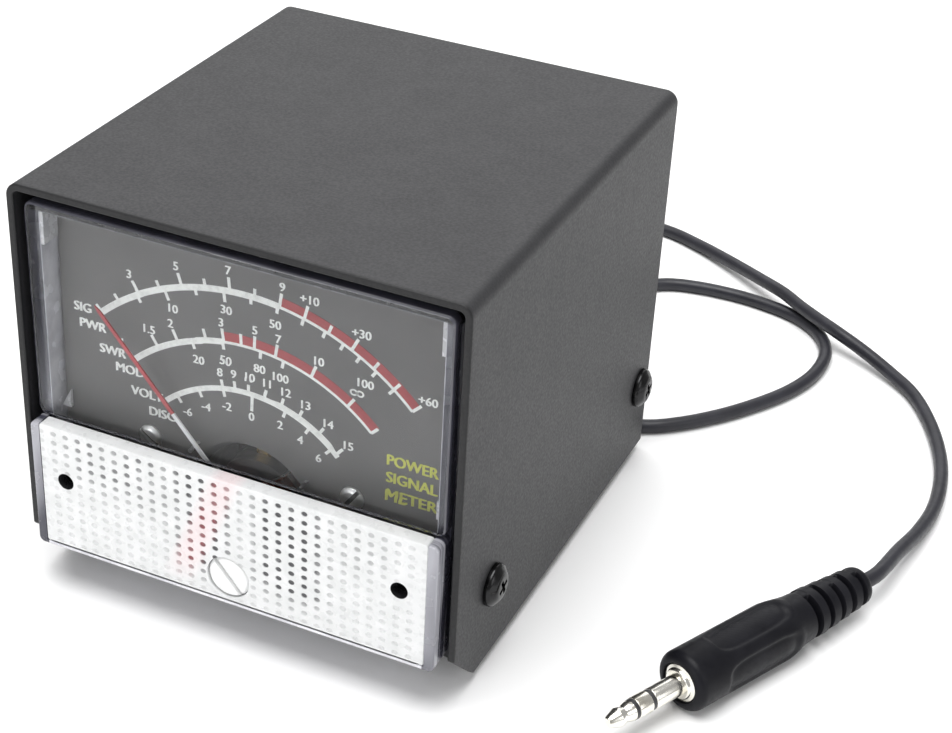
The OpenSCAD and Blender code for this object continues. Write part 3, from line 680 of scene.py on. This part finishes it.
def plug_grip():
    """The moulded body: a lip round the collar, the grip and its strain relief."""
    bm = bmesh.new()
    sides = 112
    turns = [2 * math.pi * k / sides for k in range(sides)]
    rounded_lip = [14.9 + 0.01 * k * k for k in range(1, 12)]
    grip = [16.2 + 0.24 * k for k in range(108)]
    relief = [RELIEF_FROM + 0.145 * k for k in range(101)]
    heights = [u for u in rounded_lip + grip if u < RELIEF_FROM] + relief
    rings = [
        [bm.verts.new(PLUG_PLACE @ Vector((r * math.cos(a), r * math.sin(a), u))) for a in turns]
        for r, u in ((3.3, 16), (3.35, 15.2), (3.4, 14.95), (3.5, 14.9))
    ]
    for u in heights:
        radius_of = grip_radius if u < RELIEF_FROM - 0.01 else relief_radius
        ring = []
        for a in turns:
            r = radius_of(u, a)
            ring.append(bm.verts.new(PLUG_PLACE @ Vector((r * math.cos(a), r * math.sin(a), u))))
        rings.append(ring)
    bridge_rings(bm, rings)
    bm.faces.new(rings[0])
    bm.faces.new(rings[-1])
    mesh = finish_mesh("plug_grip_skin", bm, 50)
    return link("plug_grip_skin", mesh, "plug_body", ["plug_grip"])


def plug_turned(name, node, corners, slot="chrome"):
    """A turned part on the plug's axis."""
    mesh = lathe(name, fillet(corners, 5), PLUG_PLACE, 72)
    return link(name, mesh, slot, [node])


plug_pieces = [
    plug_grip(),
    plug_turned("plug_collar_turned", "plug_collar", [
        (1.0, 14.5, 0), (2.4, 14.5, 0.3), (2.6, 15.0, 0.15), (3.25, 15.2, 0.3),
        (3.25, 16, 0), (1.0, 16, 0), (1.0, 14.5, 0),
    ]),
    plug_turned("plug_sleeve_turned", "plug_sleeve", [
        (1.0, 8.9, 0), (1.75, 8.9, 0.12), (1.75, 14.5, 0), (1.0, 14.5, 0), (1.0, 8.9, 0),
    ]),
    plug_turned("plug_ring_turned", "plug_ring", [
        (0.9, 5.5, 0), (1.75, 5.5, 0.12), (1.75, 8.2, 0.12), (0.9, 8.2, 0), (0.9, 5.5, 0),
    ]),
    plug_turned("plug_insulator_a", "plug_insulators", [
        (0.9, 4.8, 0), (1.66, 4.8, 0.05), (1.66, 5.5, 0.05), (0.9, 5.5, 0), (0.9, 4.8, 0),
    ], "black_plastic"),
    plug_turned("plug_insulator_b", "plug_insulators", [
        (0.9, 8.2, 0), (1.66, 8.2, 0.05), (1.66, 8.9, 0.05), (0.9, 8.9, 0), (0.9, 8.2, 0),
    ], "black_plastic"),
    plug_turned("plug_tip_turned", "plug_tip", [
        (0, 0, 0), (0.75, 0.05, 0.2), (0.95, 0.4, 0.2), (1.55, 2.1, 0.3), (1.48, 2.6, 0.4),
        (1.3, 3.2, 0.5), (1.56, 4.2, 0.3), (1.62, 4.8, 0), (0.5, 4.8, 0), (0.5, 14.5, 0),
        (0, 14.5, 0),
    ]),
]

# ---- Case ----


def case_cover():
    """An inverted U of folded sheet with the lower front corners cut off."""
    bm = bmesh.new()
    half, top = CASE_HIGH.x, CASE_HIGH.z

    def fold(radius):
        points = []
        for side in (-1, 1):
            arc = []
            for k in range(11):
                a = math.radians(90 * k / 10)
                cx, cz = half - FOLD, top - FOLD
                arc.append((side * (cx + radius * math.cos(a)), cz + radius * math.sin(a)))
            points += arc if side < 0 else arc[::-1]
        return points

    rings = []
    for y, foot in ((CASE_LOW.y, 8), (CASE_LOW.y + 8, 0), (0, 0), (CASE_HIGH.y, 0)):
        low = CASE_LOW.z + foot
        inner = half - SHEET
        outline = [(-half, low)] + fold(FOLD) + [(half, low), (inner, low)]
        outline += fold(FOLD - SHEET)[::-1] + [(-inner, low)]
        rings.append([bm.verts.new((x, y, z)) for x, z in outline])
    bridge_rings(bm, rings)
    bm.faces.new(rings[0])
    bm.faces.new(rings[-1])
    mesh = finish_mesh("case_shell", bm, 30)
    soften(link("case_shell", mesh, "case_paint", ["case_cover"]), 0.3)


def case_screws():
    """Pan heads with a cross recess, through both of the case's sheets."""
    heads, slots = bmesh.new(), [bmesh.new(), bmesh.new()]
    head = fillet([
        (0, 1.98, 0), (2.1, 1.93, 1.6), (3.5, 0.9, 0.9), (3.5, 0.0, 0.12),
        (1.45, 0, 0), (1.45, -3.6, 0.3), (0, -3.8, 0),
    ], 6)
    for side in (-1, 1):
        for y in (CASE_LOW.y + 13, CASE_HIGH.y - 5):
            place = (
                Matrix.Translation((side * CASE_HIGH.x, y, 16))
                @ spin(side * 90, "Y")
                @ spin(24, "Z")
            )
            lathe_into(heads, head, place, 56)
            for bm, turn in zip(slots, (0, 90)):
                turned = place @ spin(turn, "Z")
                ends = []
                for wide, narrow, height in ((0.5, 0.3, 0.6), (1.8, 0.42, 2.5)):
                    ends.append([
                        bm.verts.new(turned @ Vector((x * wide, y * narrow, height)))
                        for x, y in ((-1, -1), (1, -1), (1, 1), (-1, 1))
                    ])
                    bm.faces.new(ends[-1])
                bridge_rings(bm, ends)
    tools = [finish_mesh("cross_tool", bm) for bm in slots]
    mesh = smooth_by_angle(cut(finish_mesh("case_screw_heads", heads), tools), 32)
    link("case_screw_heads", mesh, "black_screw", ["case_screws"])


def feet():
    """Rubber feet with a rounded rim and a shallow hollow underneath."""
    bm = bmesh.new()
    profile = fillet([
        (0, 0.25, 0), (2.2, 0.25, 0.1), (2.5, 0.0, 0.15), (3.9, 0.0, 0.5),
        (4.5, 0.9, 0.4), (4.5, 2.0, 0.0), (0, 2.0, 0),
    ], 5)
    low, high = node_box("rubber_feet")
    radius = 4.5
    for x in (low.x + radius, high.x - radius):
        for y in (low.y + radius, high.y - radius):
            lathe_into(bm, profile, Matrix.Translation((x, y, 0)), 48)
    mesh = finish_mesh("soft_feet", bm)
    link("soft_feet", mesh, "rubber", ["rubber_feet"])


def grommet():
    """A rubber grommet with a groove that the rear panel sits in."""
    bore = LEAD_R + 0.05
    profile = fillet([
        (bore, -2.7, 0), (4.9, -2.7, 0.4), (5.5, -2.2, 0.3), (5.5, -1.2, 0.1),
        (3.9, -1.2, 0.05), (3.9, 0, 0.05), (5.5, 0, 0.15), (5.5, 0.8, 0.5),
        (4.4, 1.5, 0.6), (2.6, 1.75, 0.4), (2.3, 2.0, 0.2), (bore, 2.0, 0),
    ], 5)
    place = facing_front(EXIT[0], CASE_HIGH.y, EXIT[2])
    mesh = lathe("lead_grommet", profile + [profile[0]], place)
    link("lead_grommet", mesh, "rubber", ["cord_grommet"])


case_cover()
case_screws()
feet()
grommet()

# ---- Meter cover ----


def outline_ring(bm, grow, y, half, low, high, radius):
    """A ring of vertices round a rectangle with round corners, grown by a width."""
    points = rounded_rect((-half - grow, low - grow), (half + grow, high + grow), radius + grow)
    return [bm.verts.new((x, y, z)) for x, z in points]


def plate_mesh(name, half, low, high, radius, y0, y1, edge):
    """A plate with round corners and a rounded front edge."""
    bm = bmesh.new()
    rings = []
    steps = 4
    for k in range(steps + 1):
        a = math.radians(90 * k / steps)
        rings.append(outline_ring(
            bm, edge * math.sin(a), y0 + edge * (1 - math.cos(a)),
            half - edge, low + edge, high - edge, max(0.05, radius - edge),
        ))
    rings.append(outline_ring(bm, 0, y1, half, low, high, radius))
    bridge_rings(bm, rings)
    bm.faces.new(rings[0])
    bm.faces.new(rings[-1])
    return finish_mesh(name, bm, 40)


def box_mesh(name, low, high):
    bm = bmesh.new()
    block_into(bm, low, high)
    return finish_mesh(name, bm)


WALL = 2
PANEL_HALF = METER_HIGH.x - 1.6
PANEL_LOW = METER_LOW.z + 0.7


def clear_cover():
    """The cover: a clear window, side walls behind it and round the band, and posts."""
    half, low, high = METER_HIGH.x, METER_LOW.z, METER_HIGH.z
    glass = WINDOW_Y + 1.8
    window = plate_mesh("clear_window", half, BAND_TOP + 0.02, high, 1.5, WINDOW_Y, glass, 0.7)
    # The window's edge faces take the dark edge material, which is painted shade.
    for face in window.polygons:
        face.material_index = int(abs(face.normal.y) < 0.93)
    link("clear_window", window, "clear_plastic", ["meter_cover"], [CLEAR, EDGE_PAINTED_DARK])
    back = WINDOW_Y + 1.82
    upper = plate_mesh("walls", half, low, high, 1.5, back, COVER_BACK, 0.05)
    lower = plate_mesh("walls_low", half, low, BAND_TOP, 1.0, BAND_Y, back + 1, 0.3)
    hollows = [
        box_mesh("hollow", (WALL - half, BAND_Y - 1, low + WALL),
                 (half - WALL, COVER_BACK + 1, high - WALL)),
        box_mesh("seat", (-PANEL_HALF, BAND_Y - 1, PANEL_LOW), (PANEL_HALF, back, BAND_TOP + 1)),
    ]
    walls = cut(cut(upper, [lower], "UNION"), hollows)
    smooth_by_angle(walls, 40)
    link("cover_walls", walls, "clear_plastic", ["meter_cover"], [WALLS_PAINTED_LIGHT])
    length = COVER_BACK - WINDOW_Y - 0.04
    post = fillet([
        (1.3, 0, 0), (3.2, 0, 0.2), (3.2, length, 0.1), (1.3, length, 0), (1.3, 0, 0),
    ], 3)
    bm = bmesh.new()
    for side in (-1, 1):
        lathe_into(bm, post, facing_front(side * FIX_X, WINDOW_Y + 0.02, FIX_Z), 40)
    mesh = finish_mesh("cover_posts", bm)
    link("cover_posts", mesh, "clear_plastic", ["meter_cover"])
    # Gussets in the cover's upper corners and above the band; their pale colour is partly painted light.
    bm = bmesh.new()
    for side in (-1, 1):
        wall = side * (half - WALL)
        block_into(bm, (min(wall, wall - side * 0.6), back + 0.02, high - 7.5),
                   (max(wall, wall - side * 0.6), DIAL_LOW.y - 0.1, high - 2.05))
        inner = wall - side * 1.7
        prism_into(bm, [(wall, BAND_TOP), (inner, BAND_TOP), (inner, BAND_TOP + 3.2)],
                   DIAL_LOW.y - 0.9, DIAL_LOW.y - 0.2)
    mesh = finish_mesh("cover_gussets", bm)
    gussets = link("cover_gussets", mesh, "clear_plastic", ["meter_cover"], [MILKY_PAINTED_LIGHT])
    soften(gussets, 0.1, 2)


def band_cell(bm, corners, cx, cz):
    """One prism of the band: a flat frame round a small hollow."""
    deep = 0.2
    turns = [math.radians(45 + 30 * k) for k in range(12)]
    rim = [(math.cos(a), math.sin(a)) for a in turns]
    outer = [bm.verts.new((cx + 0.62 * c, BAND_Y, cz + 0.5 * s)) for c, s in rim]
    middle = [bm.verts.new((cx + 0.4 * c, BAND_Y + deep * 0.8, cz + 0.32 * s)) for c, s in rim]
    bottom = bm.verts.new((cx, BAND_Y + deep, cz))
    for side in range(4):
        a, b = corners[side], corners[(side + 1) % 4]
        edge = [outer[(side * 3 + k) % 12] for k in range(4)]
        bm.faces.new([b, a] + edge)
    bridge_rings(bm, [outer, middle])
    for k in range(12):
        bm.faces.new((middle[k], middle[(k + 1) % 12], bottom))


def band_mesh():
    """The pale band: rows of small prisms inside a plain margin."""
    bm = bmesh.new()
    y = BAND_Y
    columns, rows = 29, 13
    xs = [BAND_PITCH_X * (k - columns / 2) for k in range(columns + 1)]
    zs = [BAND_ROW_Z + BAND_PITCH_Z * (0.5 - k) for k in range(rows + 1)]
    grid = [[bm.verts.new((x, y, z)) for x in xs] for z in zs]
    plain = [(-FIX_X, FIX_Z, 3.3), (FIX_X, FIX_Z, 3.3), (0, ZERO_Z, 4.6)]
    for j in range(rows):
        for i in range(columns):
            cx, cz = (xs[i] + xs[i + 1]) / 2, (zs[j] + zs[j + 1]) / 2
            corners = [grid[j][i + 1], grid[j][i], grid[j + 1][i], grid[j + 1][i + 1]]
            if any(math.hypot(cx - px, cz - pz) < pr for px, pz, pr in plain):
                bm.faces.new(corners)
            else:
                band_cell(bm, corners, cx, cz)
    half, low, high, edge = PANEL_HALF - 0.02, PANEL_LOW + 0.02, BAND_TOP, 0.25
    steps = 6
    outline = rounded_rect((-half + edge, low + edge), (half - edge, high - edge), 0.3, steps)
    ring = [bm.verts.new((x, y, z)) for x, z in outline]
    n = steps + 1
    right_top, left_top, left_low, right_low = (ring[k * n:(k + 1) * n] for k in range(4))
    bm.faces.new([right_top[-1], left_top[0]] + grid[0])
    bm.faces.new([left_top[-1], left_low[0]] + [row[0] for row in grid[::-1]])
    bm.faces.new([left_low[-1], right_low[0]] + grid[-1][::-1])
    bm.faces.new([right_low[-1], right_top[0]] + [row[-1] for row in grid])
    for arc, corner in ((right_top, grid[0][-1]), (left_top, grid[0][0]),
                        (left_low, grid[-1][0]), (right_low, grid[-1][-1])):
        bm.faces.new(arc + [corner])
    rings = [ring]
    for k in range(1, 4):
        a = math.radians(30 * k)
        grow = edge * math.sin(a)
        points = rounded_rect((-half + edge - grow, low + edge - grow),
                              (half - edge + grow, high - edge + grow), 0.3 + grow, steps)
        rings.append([bm.verts.new((x, y + edge * (1 - math.cos(a)), z)) for x, z in points])
    points = rounded_rect((-half, low), (half, high), 0.3 + edge, steps)
    rings.append([bm.verts.new((x, WINDOW_Y - 0.02, z)) for x, z in points])
    bridge_rings(bm, rings)
    bm.faces.new(rings[-1])
    return finish_mesh("prism_band", bm, 28)


def band():
    """The band with its two screw holes, and the knob's shaft hole and seat."""
    tools = []
    for x, z, r, end, sides in ((-FIX_X, FIX_Z, 1.4, 6, 48), (FIX_X, FIX_Z, 1.4, 6, 48),
                                (0, ZERO_Z, 1.5, 6, 48), (0, ZERO_Z, 3.7, 1.6, 64)):
        profile = [(0, -2), (r, -2), (r, end), (0, end)]
        tools.append(lathe("hole", profile, facing_front(x, BAND_Y, z), sides))
    mesh = smooth_by_angle(cut(band_mesh(), tools), 28)
    link("prism_band", mesh, "clear_plastic", ["meter_cover"], [BAND])


def knob():
    """The clear slotted knob, with its shaft, collar and eccentric pin behind."""
    head = fillet([
        (0, 0.1, 0), (3.2, 0.1, 0.3), (3.6, 0.5, 0.2), (3.6, 1.5, 0.1), (1.4, 1.5, 0),
        (1.4, 2.85, 0), (1.9, 2.85, 0.05), (1.9, 3.1, 0.05), (0, 3.1, 0),
    ], 4)
    place = facing_front(0, BAND_Y, ZERO_Z)
    turned = place @ spin(50, "Z")
    bm = bmesh.new()
    block_into(bm, (-4, -0.45, -1), (4, 0.45, 0.8))
    bmesh.ops.transform(bm, matrix=turned, verts=bm.verts)
    mesh = cut(lathe("zero_knob_head", head, place, 72), [finish_mesh("slot_tool", bm)])
    smooth_by_angle(mesh, 30)
    link("zero_knob_head", mesh, "clear_plastic", ["zero_screw"], [KNOB], "zero_knob")
    profile = fillet([(0, 3.1, 0), (0.5, 3.1, 0), (0.5, 4.5, 0.15), (0, 4.5, 0)], 3)
    pin = lathe("zero_knob_pin", profile, facing_front(0, BAND_Y, ZERO_Z - 1), 32)
    link("zero_knob_pin", pin, "clear_plastic", ["zero_screw"], [KNOB], "zero_knob")


clear_cover()
band()
knob()

# ---- Dial print ----

PRINT_FRONT = DIAL_LOW.y - 0.04
PRINT_BACK = DIAL_LOW.y + 0.01
PRINT_X, PRINT_Z = -0.3, PIVOT_Z - 0.7
OUTER_R, MIDDLE_R, INNER_R = 37.2, 28.6, 20.8
RED_FROM = -8.2


def on_dial(radius, degrees):
    """A point on the print; its arcs are centred a little off the pointer's axis."""
    a = math.radians(degrees)
    return radius * math.sin(a) + PRINT_X, PRINT_Z + radius * math.cos(a)


def arc_into(bm, r0, r1, a0, a1):
    """A printed arc between two radii and two angles."""
    steps = max(2, int(abs(a1 - a0) / 1.5))
    inner = [on_dial(r0, a0 + (a1 - a0) * k / steps) for k in range(steps + 1)]
    outer = [on_dial(r1, a0 + (a1 - a0) * k / steps) for k in range(steps + 1)]
    rows = []
    for (xi, zi), (xo, zo) in zip(inner, outer):
        rows.append([bm.verts.new(c) for c in (
            (xi, PRINT_FRONT, zi), (xo, PRINT_FRONT, zo),
            (xo, PRINT_BACK, zo), (xi, PRINT_BACK, zi),
        )])
    bridge_rings(bm, rows)
    bm.faces.new(rows[0])
    bm.faces.new(rows[-1])


def tick_into(bm, r0, r1, degrees):
    """A printed tick across an arc, just proud of it."""
    width = 0.5
    half = math.degrees(width / 2 / r0), math.degrees(width / 2 / r1)
    outline = [on_dial(r0, degrees - half[0]), on_dial(r1, degrees - half[1]),
               on_dial(r1, degrees + half[1]), on_dial(r0, degrees + half[0])]
    prism_into(bm, outline, PRINT_FRONT - 0.01, PRINT_BACK)


def infinity_mark(x, z):
    """Two small rings side by side."""
    bm = bmesh.new()
    section = ((0.36, PRINT_FRONT), (0.66, PRINT_FRONT), (0.66, PRINT_BACK), (0.36, PRINT_BACK))
    for side in (-1, 1):
        rows = []
        for k in range(21):
            a = 2 * math.pi * k / 20
            rows.append([
                bm.verts.new((x + side * 0.52 + r * math.cos(a), y, z + r * 0.85 * math.sin(a)))
                for r, y in section
            ])
        bridge_rings(bm, rows)
    return [finish_mesh("infinity", bm)]


def text_meshes(labels, size, bold=0.13, fit=None):
    """Solid letters that face the front, each struck twice to make them bolder.
    A label is (text, x, z, alignment), and fit gives it a set width."""
    out = []
    for text, x, z, align in labels:
        data = bpy.data.curves.new("label", "FONT")
        data.body = text
        data.size = size * 0.001
        data.extrude = 0.000025
        data.align_x, data.align_y = align, "CENTER"
        data.resolution_u = 3
        holder = add_object("label", data)
        depsgraph = bpy.context.evaluated_depsgraph_get()
        mesh = bpy.data.meshes.new_from_object(holder.evaluated_get(depsgraph))
        bpy.data.objects.remove(holder)
        if fit:
            places = [v.co.x for v in mesh.vertices]
            mesh.transform(Matrix.Diagonal((fit * 0.001 / (max(places) - min(places)), 1, 1, 1)))
        upright = spin(90, "X")
        second = mesh.copy()
        left = mm(x - bold / 2, DIAL_LOW.y - 0.015, z)
        right = mm(x + bold / 2, DIAL_LOW.y - 0.019, z + bold / 3)
        mesh.transform(Matrix.Translation(left) @ upright)
        second.transform(Matrix.Translation(right) @ upright)
        out += [mesh, second]
    return out


def joined(name, meshes):
    """One mesh from several."""
    bm = bmesh.new()
    for mesh in meshes:
        bm.from_mesh(mesh)
    out = bpy.data.meshes.new(name)
    bm.to_mesh(out)
    bm.free()
    return out


def polar_labels(items, radius):
    """Labels on a circle of the print, from pairs of text and angle."""
    return [(text, *on_dial(radius, degrees), "CENTER") for text, degrees in items]


S_TICKS = [-42.4 + 6.32 * k for k in range(15)]
S_LABELS = {2: "3", 4: "5", 6: "7", 8: "9", 9: "+10", 11: "+30", 14: "+60"}
PWR_TICKS = {-30.3: "", -22.2: "10", -13.7: "", -6.1: "30", 0.9: "", 7.7: "50", 14.3: "",
             20.0: "", 24.9: "", 29.5: "", 34.3: "100", 39.8: ""}
SWR_TICKS = {-43.2: "1", -32.4: "1.5", -24.5: "2", -14.4: "", -8.2: "3", -2.3: "", 2.1: "5",
             9.1: "7", 21.4: "10", 35.0: ""}
MOD_TICKS = {-19.3: "20", -8.7: "50", 4.2: "80", 11.9: "100"}
VOLT_TICKS = {-11.8: "8", -6: "9", 0.2: "10", 7.6: "11", 15.2: "12", 23.8: "13", 34.3: "14", 45: "15"}
DISC_TICKS = {-36.3: "-6", -24.1: "-4", -11.8: "-2", 2: "0", 17.8: "2", 29.9: "4", 42.3: "6"}
LEGENDS = (("SIG", -28.8, 49.6), ("PWR", -27.2, 46.9), ("SWR", -23.8, 43.4),
           ("MOD", -20.8, 40.9), ("VOLT", -17.9, 37.5), ("DISC", -15.3, 34.7))
SIGN_LINES = ("POWER", "SIGNAL", "METER")


def dial_print():
    """The three scales, their legends and the words at the lower right."""
    white, red = bmesh.new(), bmesh.new()
    split = S_TICKS[8]
    arc_into(white, OUTER_R - 0.5, OUTER_R + 0.55, S_TICKS[0], split)
    arc_into(white, OUTER_R - 0.28, OUTER_R + 0.22, split, S_TICKS[-1])
    arc_into(red, OUTER_R + 0.2, OUTER_R + 1.65, split, S_TICKS[-1])
    for k, degrees in enumerate(S_TICKS):
        reach = 2.3 if k in S_LABELS else 1.5
        tick_into(white, OUTER_R, OUTER_R + (reach if k < 14 else 1.9), degrees)
    for degrees, label in PWR_TICKS.items():
        tick_into(white, OUTER_R - (1.9 if label in ("10", "30") else 1.25), OUTER_R, degrees)
    end = 45.4
    arc_into(white, MIDDLE_R - 0.5, MIDDLE_R + 0.5, min(SWR_TICKS), RED_FROM)
    arc_into(white, MIDDLE_R - 0.25, MIDDLE_R + 0.22, RED_FROM, end)
    arc_into(red, MIDDLE_R + 0.22, MIDDLE_R + 1.7, RED_FROM, end)
    for degrees, label in SWR_TICKS.items():
        tick_into(white, MIDDLE_R, MIDDLE_R + (2.2 if label else 1.9), degrees)
    tick_into(white, MIDDLE_R, MIDDLE_R + 1.5, end)
    for degrees in MOD_TICKS:
        tick_into(white, MIDDLE_R - 1.3, MIDDLE_R, degrees)
    arc_into(white, INNER_R - 0.45, INNER_R + 0.45, -43, 46.5)
    for degrees in VOLT_TICKS:
        tick_into(white, INNER_R, INNER_R + 1.5, degrees)
    for degrees, label in DISC_TICKS.items():
        tick_into(white, INNER_R - (2.9 if label == "0" else 1.4), INNER_R, degrees)
    labels = polar_labels([(S_LABELS[k], S_TICKS[k]) for k in S_LABELS], 40.5)
    labels += polar_labels([(t, a) for a, t in PWR_TICKS.items() if t], 33.9)
    labels += polar_labels([(t, a) for a, t in SWR_TICKS.items() if t], 31.7)
    labels += polar_labels([(t, a) for a, t in MOD_TICKS.items()], 25.4)
    labels += polar_labels([(t, a) for a, t in VOLT_TICKS.items()], 23.4)
    labels += polar_labels([(t, a) for a, t in DISC_TICKS.items() if t != "0"], 17.7)
    labels.append(("0", *on_dial(16.8, 2), "CENTER"))
    letters = text_meshes(labels, 2.0)
    letters += text_meshes([(t, x, z, "CENTER") for t, x, z in LEGENDS], 2.2, 0.2)
    letters += infinity_mark(*on_dial(31.7, 34.4))
    yellow = []
    for k, text in enumerate(SIGN_LINES):
        yellow += text_meshes([(text, 22.6, 38.6 - 3.0 * k, "LEFT")], 2.6, 0.2, 8.2)
    prints = (
        ("dial_print_white", joined("dial_print_white", [finish_mesh("arcs", white)] + letters), WHITE_INK),
        ("dial_print_red", finish_mesh("dial_print_red", red), RED_INK),
        ("dial_print_yellow", joined("dial_print_yellow", yellow), YELLOW_INK),
    )
    for name, mesh, material in prints:
        link(name, mesh, "dial_face", materials=[material])


dial_print()


def dial_screws():
    """Bright domed heads, each with a slot that is turned its own way and a dark piece at its
    floor as painted shade, and their shanks."""
    heads, slots, slot_shade = bmesh.new(), bmesh.new(), bmesh.new()
    reach = node_box("dial_screws")[1].y - DIAL_LOW.y
    head = fillet([
        (0, -0.95, 0), (1.4, -0.85, 0.8), (1.95, -0.4, 0.2), (1.95, 0, 0.05),
        (1.0, 0, 0), (1.0, reach, 0.1), (0, reach, 0),
    ], 5)
    for side, turn in ((-1, 35), (1, -55)):
        place = facing_front(side * 17.4, DIAL_LOW.y, METER_LOW.z + 21.8)
        lathe_into(heads, head, place, 48)
        turned = place @ spin(turn, "Z")
        for target, half, top, bottom in ((slots, 2.4, -2, -0.35), (slot_shade, 1.75, -0.42, -0.3)):
            block = bmesh.new()
            block_into(block, (-half, -0.33, top), (half, 0.33, bottom))
            add_to(target, block, turned)
    mesh = cut(finish_mesh("dial_screw_heads", heads), [finish_mesh("slots", slots)])
    smooth_by_angle(mesh, 32)
    link("dial_screw_heads", mesh, "steel", ["dial_screws"], [NICKEL])
    # Painted shade: dark blocks at the floors of the slots.
    mesh = finish_mesh("dial_screw_slot_shade", slot_shade)
    link("dial_screw_slot_shade", mesh, "steel", ["dial_screws"], [CAST])


dial_screws()

# ---- Pointer ----


def pointer():
    """A flat blade, white near its hub and red outside, with a hub and balance arms."""
    y0, y1 = WINDOW_Y + 3.2, WINDOW_Y + 3.5
    at_rest = spin(-41, "Y")
    turn = Matrix.Translation((0, 0, PIVOT_Z)) @ at_rest
    length, change = 38.5, 18.5

    def width(r):
        return 0.85 - 0.3 * r / length

    def blade(name, r0, r1, tip):
        bm = bmesh.new()
        shoulder = r1 - tip
        outline = [(-width(r0) / 2, r0), (-width(r1) / 2, shoulder)]
        if tip:
            outline.append((0, r1))
        outline += [(width(r1) / 2, shoulder), (width(r0) / 2, r0)]
        prism_into(bm, outline, y0, y1)
        bmesh.ops.transform(bm, matrix=turn, verts=bm.verts)
        return finish_mesh(name, bm)

    red = link("pointer_outer_blade", blade("pointer_outer_blade", change, length, 1.0),
               "pointer_paint", ["pointer"], body="pointer_assembly")
    white = link("pointer_inner_blade", blade("pointer_inner_blade", 1.0, change, 0),
                 "pointer_paint", ["pointer"], [POINTER_WHITE], "pointer_assembly")
    bm = bmesh.new()
    lathe_into(bm, fillet([
        (0.52, y0 - 0.3, 0), (1.3, y0 - 0.3, 0.12), (1.3, y1 + 0.3, 0.12),
        (0.52, y1 + 0.3, 0), (0.52, y0 - 0.3, 0),
    ], 4), turn @ spin(-90, "X"), 40)
    for outline in ([(-0.35, -7), (0.35, -7), (0.35, -1), (-0.35, -1)],
                    [(-4.5, -0.35), (-1, -0.35), (-1, 0.35), (-4.5, 0.35)],
                    [(1, -0.35), (4.5, -0.35), (4.5, 0.35), (1, 0.35)]):
        part = bmesh.new()
        prism_into(part, outline, y0, y1)
        add_to(bm, part, turn)
    link("pointer_hub", finish_mesh("pointer_hub", bm),
         "pointer_paint", ["pointer"], [POINTER_WHITE], "pointer_assembly")
    for piece in (red, white):
        soften(piece, 0.05, 2)


pointer()

# ---- Floor and light ----


def floor():
    """A plain pale floor, 6 m square."""
    mesh = bpy.data.meshes.new("floor")
    bm = bmesh.new()
    bm.faces.new([bm.verts.new((3 * x, 3 * y, 0)) for x, y in ((-1, -1), (1, -1), (1, 1), (-1, 1))])
    bm.to_mesh(mesh)
    bm.free()
    piece = add_object("floor", mesh)
    mesh.materials.append(Finish("floor", (0.9, 0.9, 0.9), 0.7).material)


def area_light(name, at, target, size, power):
    """A white softbox that points at a target."""
    data = bpy.data.lights.new(name, "AREA")
    data.shape = "RECTANGLE"
    data.size, data.size_y = size
    data.energy = power
    lamp = add_object(name, data)
    at, target = Vector(at), Vector(target)
    lamp.location = at
    lamp.rotation_mode = "QUATERNION"
    lamp.rotation_quaternion = (target - at).to_track_quat("-Z", "Y")


def lights():
    """A dim white world and four softboxes."""
    world = bpy.data.worlds.new("studio")
    world.use_nodes = True
    shade = world.node_tree.nodes["Background"]
    shade.inputs[0].default_value = (1, 1, 1, 1)
    shade.inputs[1].default_value = 0.4
    SCENE.world = world
    area_light("top_softbox", (0.0, -0.1, 1.0), (0, 0, 0), (0.8, 0.8), 13)
    area_light("rear_softbox", (-0.42, 0.98, 0.72), (0, 0, 0.05), (1.3, 0.7), 4)
    area_light("front_softbox", (-0.25, -0.9, 0.35), (0, 0, 0.03), (0.5, 0.4), 2)
    area_light("right_softbox", (0.9, -0.2, 0.4), (0, 0, 0.03), (0.5, 0.5), 1.5)
    SCENE.view_settings.view_transform = "Standard"


floor()
lights()
